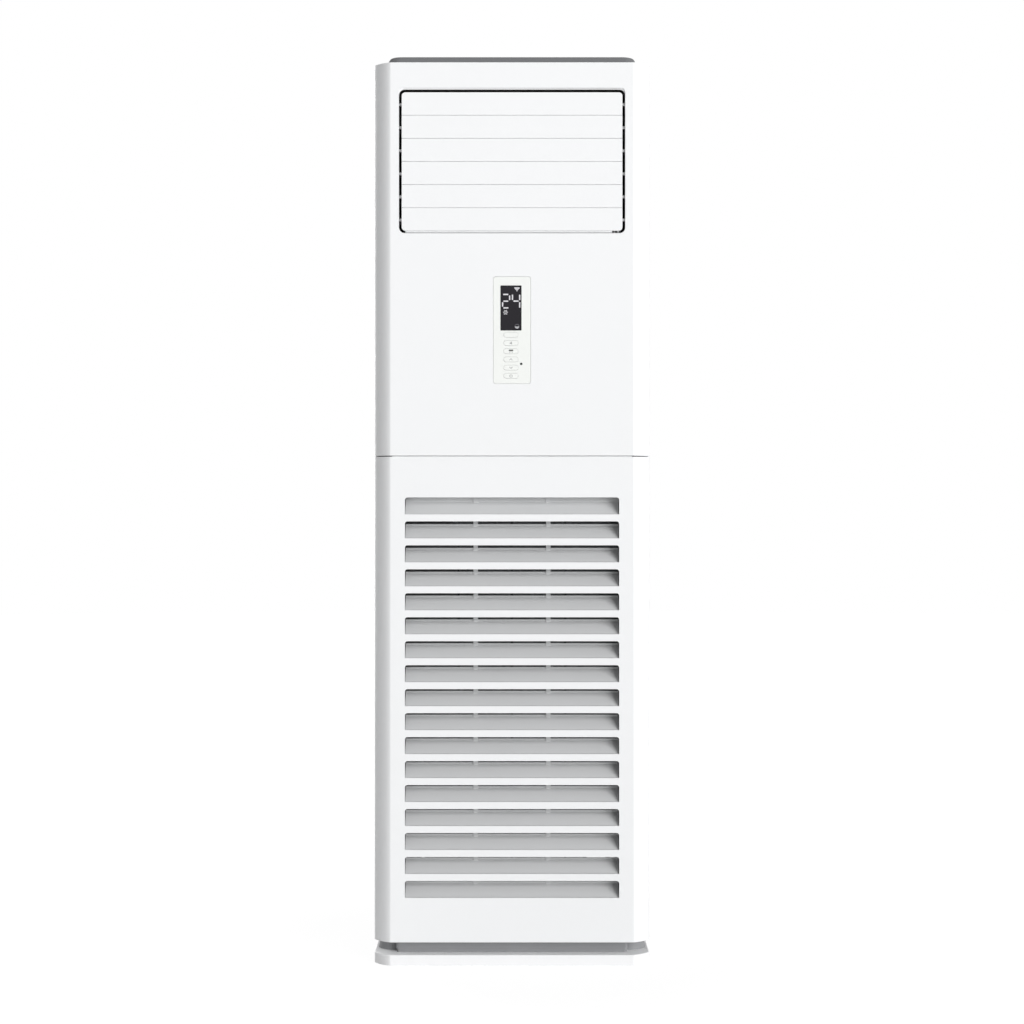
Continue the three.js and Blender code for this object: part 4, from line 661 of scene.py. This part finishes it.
bm = bmesh.new()
block(bm, (-cap_half, cap_front, cabinet_top - 15.5), (cap_half, cap_back, cabinet_top))
rounded_uprights(bm, cap_front + 1, 24, 12)
drawn_in = [vertex for vertex in bm.verts if vertex.co.z > (cabinet_top - 1) * mm]
bmesh.ops.scale(bm, vec=(0.968, 0.96, 1), verts=drawn_in)
hollowed(bm, 2.5, -2.5)
top_rim = edges_where(bm, lambda way, mid: mid.z > cabinet_top - 0.5 and abs(way.z) < 0.1)
rounded(bm, top_rim, 3.5, 5)
cap = piece_from("top_cap", bm, cap_plastic, "cabinet", "top_cover")


# ---------------------------------------------------------------- wall bracket
# An angle of galvanised sheet that ties the cabinet to a wall, so that it can't tip. Its foot
# is held on the roof by two screws.
dress(zinc_sheet, "wall_bracket")
dress(zinc, "bracket_screw_1", "bracket_screw_2")


# ---------------------------------------------------------------- outlet duct
# A black moulded box that leads the air from the coil to the outlet. Its walls have the pivot
# holes of the louvres and vanes, and it is screwed behind the upper panel.
duct_plastic = moulded("black_duct_plastic", colour(36, 37, 39), colour(29, 30, 32), 0.66,
                       0.00006, 900)
dress(duct_plastic, "outlet_duct")


# ---------------------------------------------------------------- guide vanes and link bars
# Seven thin upright vanes behind the louvres, moulded in white plastic, and the two bars that
# tie the vanes and the louvres together.
white_plastic = moulded("white_moulded_plastic", colour(245, 246, 247), colour(243, 244, 245),
                        0.44)
dress(white_plastic, "vane_link", "louvre_link", *[f"vane_{number}" for number in range(1, 8)])


# ---------------------------------------------------------------- small motors
# Two black geared stepper motors: one turns the louvres from the duct's right wall, and one
# the vanes from the duct's top.
dress(black_plastic, "louvre_motor", "vane_motor")


# ---------------------------------------------------------------- level louvres
# Six moulded blades close the outlet edge to edge. Each has a flat face with soft edges, a
# hollow-ground rear, a lug with a pin at both ends and a crank for the link bar.
louvre_count = 6
louvre_top, louvre_pitch = 1681.45, 45.1
louvre_half, louvre_reach = 22.3, 215.4
pivot_y, link_y = -190, -174
link_drop = 23


def louvre_blade(z, pin_reach, round_way):
    """A blade about its pins at height z. Its outer corners are rounded upward or downward."""
    bm = bmesh.new()
    block(bm, (-louvre_reach, front_y, z - louvre_half),
          (louvre_reach, front_y + 2.5, z + louvre_half))
    outer = edges_where(bm, lambda way, mid: abs(way.y) > 0.9 and (mid.z - z) * round_way > 20)
    if outer:
        rounded(bm, outer, 7, 6)
    rear = [face for face in bm.faces if face.normal.y > 0.9]
    swell = bmesh.ops.extrude_face_region(bm, geom=rear)
    bmesh.ops.delete(bm, geom=rear, context="FACES_ONLY")
    ridge = moved_on(bm, swell, (0, 3.5, -z))
    bmesh.ops.scale(bm, vec=(1, 1, 0.5), verts=ridge)
    bmesh.ops.translate(bm, vec=(0, 0, z * mm), verts=ridge)
    bmesh.ops.recalc_face_normals(bm, faces=bm.faces)
    rounded(bm, edges_where(bm, lambda way, mid: abs(way.x) > 0.9 and mid.y > -194.5), 5, 4)
    rounded(bm, edges_where(bm, lambda way, mid: mid.y < -199.9), 0.8, 3)
    for near, far in ((-208, 195.5), (206, 208)):
        block(bm, (near, -197, z - 25.4), (far, -195.8, z - 20))
    for side in (-1, 1):
        near, far = sorted((side * 212, side * 214.9))
        block(bm, (near, -196, z - 5), (far, -185.5, z + 5))
        reach = pin_reach if side > 0 else 223
        round_bar(bm, (side * 213.5, pivot_y, z), (side * reach, pivot_y, z), 3, 20)
    arm = bmesh.ops.create_cube(bm, size=1)["verts"]
    bmesh.ops.scale(bm, vec=(3 * mm, 6 * mm, 25.1 * mm), verts=arm)
    lean = math.atan2(22, -12.1)
    bmesh.ops.rotate(bm, matrix=Matrix.Rotation(-lean, 3, "X"), verts=arm)
    bmesh.ops.translate(bm, vec=Vector((197.5, -185, z - 16.95)) * mm, verts=arm)
    for near, far, radius, sides in ((196, 199, 3, 20), (198, 202.6, 2, 16)):
        round_bar(bm, (near, link_y, z - link_drop), (far, link_y, z - link_drop), radius, sides)
    return bm


for index in range(louvre_count):
    round_way = {0: 1, louvre_count - 1: -1}.get(index, 0)
    bm = louvre_blade(louvre_top - louvre_pitch * index, 230.7 if index == 0 else 223, round_way)
    node = f"louvre_{index + 1}"
    blade = piece_from(f"outlet_blade_{index + 1}", bm, white_plastic, node, node)


# ---------------------------------------------------------------- upper front panel
# White moulded plastic that wraps round both front corners. It has the outlet's opening, whose
# rim is bevelled inward, and the opening for the controls, and it is screwed to the steel frame.
def wrap(name, foot, top):
    """A wall across the front and round both corners, 3 mm thick, with level rims."""
    bm = bmesh.new()
    block(bm, (-half_width, front_y, foot), (half_width, front_y + 62, top))
    turns = edges_where(bm, lambda way, mid: abs(way.z) > 0.9 and mid.y < front_y + 1)
    rounded(bm, turns, corner, 16, corner_profile)
    rear = [face for face in bm.faces if face.normal.y > 0.9]
    bmesh.ops.delete(bm, geom=rear, context="FACES_ONLY")
    shell = loose(name, bm)
    wall = shell.modifiers.new("wall", "SOLIDIFY")
    wall.thickness = 3 * mm
    wall.offset = -1
    wall.use_even_offset = True
    return shell


def opening(low_x, low_z, high_x, high_z, top_radius, foot_radius):
    """A cutter through the front wall with its own radius at its top and foot corners."""
    bm = bmesh.new()
    block(bm, (low_x, front_y - 5, low_z), (high_x, front_y + 10, high_z))
    middle = (low_z + high_z) / 2
    along = [edge for edge in bm.edges if abs(edge.verts[0].co.y - edge.verts[1].co.y) > 0.01]
    upper = [edge for edge in along if edge.verts[0].co.z / mm > middle]
    lower = [edge for edge in along if edge.verts[0].co.z / mm < middle]
    rounded(bm, upper, top_radius, 6)
    rounded(bm, lower, foot_radius, 6)
    return bm


def finish_panel(panel, width, body, node, material):
    """Breaks every sharp edge, keeps the flats flat and seats the panel on its body."""
    mesh = panel.data
    mesh.shade_smooth()
    mesh.set_sharp_from_angle(angle=math.radians(32))
    mesh.materials.clear()
    mesh.materials.append(material)
    edge = panel.modifiers.new("edge", "BEVEL")
    edge.width = width * mm
    edge.segments = 3
    edge.limit_method = "ANGLE"
    edge.angle_limit = math.radians(40)
    keep_flats(panel)
    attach(panel, body)
    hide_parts(node)


outlet_half, outlet_corner = 220.5, 11
outlet_foot, outlet_head = 1429.4, 1709

upper = wrap("upper_front", 995, 1762)
cutters = [loose("outlet", opening(-outlet_half, outlet_foot, outlet_half, outlet_head,
                                   outlet_corner, outlet_corner)),
           loose("controls", opening(-36.8, 1135.1, 36.8, 1344.3, 5, 5))]
# The rim's bevel is cut in two steps. Each is a slab whose front face is widened.
for front, back, head, foot, inner_head in ((-200.2, -198.4, 1714.6, 1428, 1711.6),
                                            (-198.5, -196.8, 1711.8, 1428.8, outlet_head)):
    bevelled = bmesh.new()
    block(bevelled, (-outlet_half, front, outlet_foot), (outlet_half, back, inner_head))
    along = edges_where(bevelled, lambda way, mid: abs(way.y) > 0.9)
    rounded(bevelled, along, outlet_corner, 6)
    for vertex in bevelled.verts:
        if vertex.co.y / mm < back - 0.5:
            share = (vertex.co.z / mm - outlet_foot) / (inner_head - outlet_foot)
            vertex.co.z = (foot + share * (head - foot)) * mm
            vertex.co.x *= (outlet_half + 0.6) / outlet_half
    cutters.append(loose("rim", bevelled))
cut_out(upper, cutters)
finish_panel(upper, 0.8, "cabinet", "upper_front_panel", white_plastic)


# ---------------------------------------------------------------- control bezel
# A white moulded plate, set half a millimetre deep in the panel and clipped from behind. It
# has a window, six openings for the buttons and a small one for the remote receiver.
bezel_plastic = moulded("white_bezel_plastic", colour(245, 247, 244), colour(243, 245, 242),
                        0.34, 0.00001, 1600)


def face_opening(across, height, width, tall, radius):
    """A cutter with rounded corners about the middle of an opening, in millimetres."""
    bm = bmesh.new()
    block(bm, (across - width / 2, -205, height - tall / 2),
          (across + width / 2, -190, height + tall / 2))
    rounded(bm, edges_where(bm, lambda way, mid: abs(way.y) > 0.9), radius, 8)
    return bm


bm = bmesh.new()
block(bm, (-36.5, -199.5, 1135.4), (36.5, -195.2, 1344))
rounded(bm, edges_where(bm, lambda way, mid: abs(way.y) > 0.9), 5, 8)
rim = edges_where(bm, lambda way, mid: mid.y < -199.4 and abs(way.y) < 0.1)
rounded(bm, rim, 0.9, 3)
bezel = loose("control_plate", bm)
button_x = -2
button_heights = [1230.6 - 16 * number for number in range(6)]
receiver_x, receiver_z = 18, 1174
cutters = [loose("cut", face_opening(button_x, 1283, 41.3, 88, 1.2))]
cutters += [loose("cut", face_opening(button_x, height, 29, 10.4, 5.1))
            for height in button_heights]
bm = bmesh.new()
round_bar(bm, (receiver_x, -205, receiver_z), (receiver_x, -190, receiver_z), 2.4, 32)
cutters.append(loose("cut", bm))
cut_out(bezel, cutters)
finish_panel(bezel, 0.25, "cabinet", "control_bezel", bezel_plastic)

bm = bmesh.new()
block(bm, (-39.5, -196.7, 1132.4), (39.5, -195.2, 1347))
hole = [face for face in bm.faces if abs(face.normal.y) > 0.9]
bmesh.ops.inset_individual(bm, faces=hole, thickness=4 * mm)
inner = [face for face in hole if face.is_valid]
bmesh.ops.bridge_loops(bm, edges=[edge for face in inner for edge in face.edges])
bmesh.ops.delete(bm, geom=inner, context="FACES_ONLY")
for across in (-28.5, 28.5):
    for height in (1143.4, 1336):
        round_bar(bm, (across, -195.2, height), (across, -188.4, height), 3, 20)
clip = piece_from("bezel_clip_frame", bm, bezel_plastic, "cabinet", "control_bezel")


# ---------------------------------------------------------------- display
# A smoked black window, glossy and set flush, with the figures of the set temperature and three
# small signs that shine through it from the green circuit board behind. Their shine is a painted
# glow: a pale colour that gives no light.
board, shader, tree, place = procedural("circuit_board", (0.02, 0.13, 0.06, 1), 0.35)
runs = tree.nodes.new("ShaderNodeTexBrick")
runs.inputs["Scale"].default_value = 180
runs.inputs["Mortar Size"].default_value = 0.08
runs.inputs["Color1"].default_value = (0.02, 0.12, 0.055, 1)
runs.inputs["Color2"].default_value = (0.025, 0.15, 0.07, 1)
runs.inputs["Mortar"].default_value = (0.05, 0.24, 0.12, 1)
flat = tree.nodes.new("ShaderNodeMapping")
flat.inputs["Rotation"].default_value = (math.radians(90), 0, 0)
tree.links.new(place, flat.inputs["Vector"])
tree.links.new(flat.outputs[0], runs.inputs["Vector"])
tree.links.new(runs.outputs["Color"], shader.inputs["Base Color"])
ranged(tree, runs.outputs["Fac"], shader, "Roughness", 0.32, 0.5)
dress(board, "display_board")

smoked, shader, tree, place = procedural("smoked_window", colour(33, 31, 36), 0.16)
shader.inputs["Specular IOR Level"].default_value = 0.22
shaded(tree, noise(tree, place, 30), shader, "Base Color", colour(31, 29, 34),
       colour(35, 33, 38))
ranged(tree, noise(tree, place, 120), shader, "Roughness", 0.13, 0.19)

bm = bmesh.new()
block(bm, (-22.35, -199.5, 1239.3), (18.35, -194.2, 1326.7))
rounded(bm, edges_where(bm, lambda way, mid: abs(way.y) > 0.9), 1, 4)
rounded(bm, edges_where(bm, lambda way, mid: mid.y < -199.4 and abs(way.y) < 0.1), 0.35, 2)
window = piece_from("display_cover", bm, smoked, "cabinet", "display_window")

# The lit figures are a painted glow: a pale colour that stands in for the light shining through
# the window.
glow_painted_sign = toned("display_sign_painted_glow", colour(222, 221, 225), colour(214, 213, 218),
                 colour(229, 228, 231), 400, 0.5)
dim_sign = toned("dim_display_sign", colour(92, 90, 96), colour(84, 82, 88),
                 colour(100, 98, 104), 400, 0.5)


def stroke(bm, start, end, width, front, back):
    """Adds a flat bar between two (x, z) points of the front, in millimetres."""
    run = Vector((end[0] - start[0], 0, end[1] - start[1]))
    bar = bmesh.ops.create_cube(bm, size=1)["verts"]
    bmesh.ops.scale(bm, vec=Vector((run.length, back - front, width)) * mm, verts=bar)
    turn = Matrix.Rotation(-math.atan2(run.z, run.x), 3, "Y")
    bmesh.ops.rotate(bm, matrix=turn, verts=bar)
    middle = Vector((start[0] + end[0], front + back, start[1] + end[1])) / 2
    bmesh.ops.translate(bm, vec=middle * mm, verts=bar)


def band(bm, centre, outer, inner, front, back, start=0, turn=360):
    """Adds a flat ring, or a part of one, about an (x, z) centre, in millimetres."""
    x, z = centre
    section = [bm.verts.new(Vector((x + reach, depth, z)) * mm)
               for reach, depth in ((inner, front), (outer, front), (outer, back), (inner, back))]
    edges = [bm.edges.new((section[corner - 1], section[corner])) for corner in range(4)]
    centre_point = Vector((x, 0, z)) * mm
    bmesh.ops.rotate(bm, cent=centre_point, verts=section,
                     matrix=Matrix.Rotation(math.radians(-start), 3, "Y"))
    swept = bmesh.ops.spin(bm, geom=section + edges, cent=centre_point, axis=(0, 1, 0),
                           angle=math.radians(-turn), steps=max(8, turn // 12),
                           use_merge=turn == 360, use_duplicate=False)
    if turn < 360:
        last = [item for item in swept["geom_last"] if isinstance(item, bmesh.types.BMVert)]
        bm.faces.new(section)
        bm.faces.new(last)


sign_front = -199.56
sign_back = -199.3
bm = bmesh.new()
for start, end in (((-17.3, 1309.4), (-7.2, 1309.4)), ((-4.6, 1307.6), (-4.6, 1298.4)),
                   ((-16.8, 1296.3), (-7.2, 1296.3)), ((-18.3, 1294.3), (-18.3, 1285.4)),
                   ((-16.8, 1283.2), (-7, 1283.2)), ((0.9, 1309), (0.9, 1298.6)),
                   ((2.7, 1296.4), (12.8, 1296.4)), ((15, 1309), (15, 1298.4)),
                   ((15, 1294.4), (15, 1283.6))):
    stroke(bm, start, end, 2.6, sign_front, sign_back)
rounded(bm, edges_where(bm, lambda way, mid: abs(way.y) > 0.9), 0.9, 3)
stroke(bm, (4.6, 1322), (14.8, 1322), 2.4, sign_front, sign_back)
stroke(bm, (6.6, 1320.3), (9.2, 1318), 1.6, sign_front, sign_back)
stroke(bm, (12.8, 1320.3), (10.2, 1318), 1.6, sign_front, sign_back)
stroke(bm, (9.7, 1321), (9.7, 1315.4), 1.8, sign_front, sign_back)
for angle in (0, 60, 120):
    arm = Vector((math.cos(math.radians(angle)), math.sin(math.radians(angle)))) * 5
    stroke(bm, (-12.6 - arm.x, 1274.6 - arm.y), (-12.6 + arm.x, 1274.6 + arm.y), 1.3,
           sign_front, sign_back)
band(bm, (-12.6, 1274.6), 3.6, 1.2, sign_front, sign_back)
band(bm, (9.7, 1247.4), 4.4, 2.2, sign_front, sign_back, 190, 160)
stroke(bm, (6.8, 1245.6), (12.6, 1245.6), 2.2, sign_front, sign_back)
figures = piece_from("display_figures", bm, glow_painted_sign, "cabinet")

bm = bmesh.new()
band(bm, (9.7, 1247.4), 4.4, 3.2, sign_front, sign_back, 0, 180)
ghost = piece_from("display_dim_sign", bm, dim_sign, "cabinet")


# ---------------------------------------------------------------- remote receiver
# A small round lens of smoked plastic beside the buttons, pressed into the bezel from behind.
# The remote control's signals reach the board through it.
bm = bmesh.new()
round_bar(bm, (receiver_x, -199.5, receiver_z), (receiver_x, -194.2, receiver_z), 2.1, 32)
rounded(bm, edges_where(bm, lambda way, mid: mid.y < -199.4), 0.7, 4)
lens = piece_from("receiver_window", bm, smoked, "cabinet", "receiver_lens")


# ---------------------------------------------------------------- buttons
# Six moulded pills that stand a hair proud of the bezel, each with a lip behind it. The signs
# are pad-printed in grey: a fan, swinging air, warmer, cooler, and on and off.
grey_print = toned("grey_print", colour(150, 151, 152), colour(142, 143, 144),
                   colour(158, 159, 160), 500, 0.55)
dark_print = toned("dark_print", colour(92, 94, 92), colour(84, 86, 84),
                   colour(100, 102, 100), 500, 0.55)


def button_sign(bm, number, height):
    """The printed sign of a button. The first button is left bare."""
    front = -199.95
    back = -199.8
    if number == 2:
        for angle in (75, 195, 315):
            reach = math.radians(angle)
            root, tip = [(button_x + out * math.cos(reach), height + out * math.sin(reach))
                         for out in (0.4, 2.7)]
            stroke(bm, root, tip, 1.9, front, back)
    elif number == 3:
        stroke(bm, (-6.2, height + 1.6), (2.2, height + 1.6), 3, front, back)
        for side in (-1, 1):
            stroke(bm, (button_x + side * 1.2, height - 0.8),
                   (button_x + side * 2.8, height - 3.2), 0.7, front, back)
    elif number in (4, 5):
        way = 1 if number == 4 else -1
        for side in (-1, 1):
            stroke(bm, (button_x, height + way * 1.8),
                   (button_x + side * 3, height - way * 1.6), 1, front, back)
    elif number == 6:
        band(bm, (button_x, height - 0.2), 3, 2.1, front, back, 125, 290)
        stroke(bm, (button_x, height + 0.2), (button_x, height + 3.4), 0.9, front, back)


for number, height in enumerate(button_heights, 1):
    bm = bmesh.new()
    block(bm, (-16.2, -199.9, height - 4.9), (12.2, -193.2, height + 4.9))
    rounded(bm, edges_where(bm, lambda way, mid: abs(way.y) > 0.9), 4.8, 8)
    rounded(bm, edges_where(bm, lambda way, mid: mid.y < -199.8 and abs(way.y) < 0.1), 0.5, 3)
    lip = bmesh.new()
    block(lip, (-17.2, -194.2, height - 5.9), (13.2, -193, height + 5.9))
    rounded(lip, edges_where(lip, lambda way, mid: abs(way.y) > 0.9), 1, 3)
    add_shape(bm, lip)
    node = f"button_{number}"
    pill = piece_from(f"button_cap_{number}", bm, bezel_plastic, node, node)
    if number > 1:
        bm = bmesh.new()
        button_sign(bm, number, height)
        sign = piece_from(f"button_print_{number}", bm, dark_print if number == 3 else grey_print,
                          node)


# ---------------------------------------------------------------- intake panel
# The lower front, moulded like the upper one and lifted off to clean the filter. Behind each of
# its 17 slots a blade rises backward and hides the fan, and two uprights tie the blades.
intake_top = 993
slot_count = 17
slot_half = 209
slot_top = 913.5
slot_rise = 33.1
slot_pitch = 46.76
slot_foots = [slot_top - slot_rise - index * slot_pitch for index in range(slot_count)]

lower = wrap("intake_panel", plinth_top + 0.5, intake_top)
cut_out(lower, [loose("slot", opening(-slot_half, foot, slot_half, foot + slot_rise, 5, 0.8))
                for foot in slot_foots])

bm = bmesh.new()
bm.from_mesh(lower.data)
seam = [edge for edge in bm.edges
        if all(vertex.co.z > (intake_top - 0.1) * mm and vertex.co.y < (front_y + 0.5) * mm
               for vertex in edge.verts)]
rounded(bm, seam, 3, 3)
block(bm, (-234, -195.6, intake_top - 3), (234, -194, intake_top + 1.4))
bmesh.ops.recalc_face_normals(bm, faces=bm.faces)
bm.to_mesh(lower.data)
bm.free()
finish_panel(lower, 0.5, "intake", "lower_front_panel", white_plastic)

# The blades' colour is a grey darker than the panel's white. It is painted shade for the dark deep
# in the slots.
blade_plastic_painted_shade = moulded("blade_white_plastic_painted_shade", colour(210, 211, 212), colour(207, 208, 209), 0.5)
bm = bmesh.new()
for foot in slot_foots:
    blade = bmesh.new()
    section = [(-198.3, foot - 0.1), (-195.5, foot + 1.2), (-173, foot + 24.1),
               (-173, foot + 27.6)]
    points = [blade.verts.new(Vector((-208.6, y, z)) * mm) for y, z in section]
    for start, end in zip(points, points[1:]):
        blade.edges.new((start, end))
    bmesh.ops.bevel(blade, geom=points[1:3], offset=1.2 * mm, affect="VERTICES", segments=3,
                    profile=0.5, material=-1)
    moved_on(blade, bmesh.ops.extrude_edge_only(blade, edges=blade.edges[:]), (416.9, 0, 0))
    bmesh.ops.recalc_face_normals(blade, faces=blade.faces)
    if sum(face.normal.z * face.calc_area() for face in blade.faces) > 0:
        bmesh.ops.reverse_faces(blade, faces=blade.faces)
    bmesh.ops.solidify(blade, geom=blade.faces[:], thickness=-2 * mm)
    add_shape(bm, blade)
ties_foot, ties_top = slot_foots[-1] - 2, slot_top + 2
for across in (-71.3, 71.3):
    block(bm, (across - 4.4, -175, ties_foot), (across + 4.4, -171.2, ties_top))
lid_half = slot_half + 2
block(bm, (-lid_half, -198.2, slot_top + 0.05), (lid_half, -171.1, ties_top))
block(bm, (-lid_half, -172, slot_top - 9), (lid_half, -171.05, ties_top))
blades = piece_from("intake_blades", bm, blade_plastic_painted_shade, "intake", "lower_front_panel")


# ---------------------------------------------------------------- filter
# A black plastic frame clipped behind the slots, with a fine washable net welded across it and
# a rail at each end of the blades.
dress(black_plastic, "filter_frame")

# Black rails close the slots' ends. Their black is also painted shade that keeps the slot ends
# dark.
bm = bmesh.new()
for side in (-1, 1):
    near, far = sorted((side * (slot_half + 0.1), side * (slot_half + 3)))
    block(bm, (near, -196.9, ties_foot), (far, -171, ties_top))
rounded(bm, edges_where(bm, lambda way, mid: abs(way.z) > 0.9), 0.5, 2)
shade_rails = piece_from("filter_rails_painted_shade", bm, black_plastic, "intake")

net_half, net_foot, net_top = 221, 120, 925.5
strand_pitch, strand_half = 1.5, 0.27
bm = bmesh.new()
for index in range(294):
    x = (index - 146.5) * strand_pitch
    block(bm, (x - strand_half, -167.4, net_foot), (x + strand_half, -167.2, net_top))
for index in range(536):
    z = 522.7 + (index - 267.5) * strand_pitch
    block(bm, (-net_half, -167.2, z - strand_half), (net_half, -167.0, z + strand_half))
net = piece_from("filter_net", bm, black_plastic, "intake")
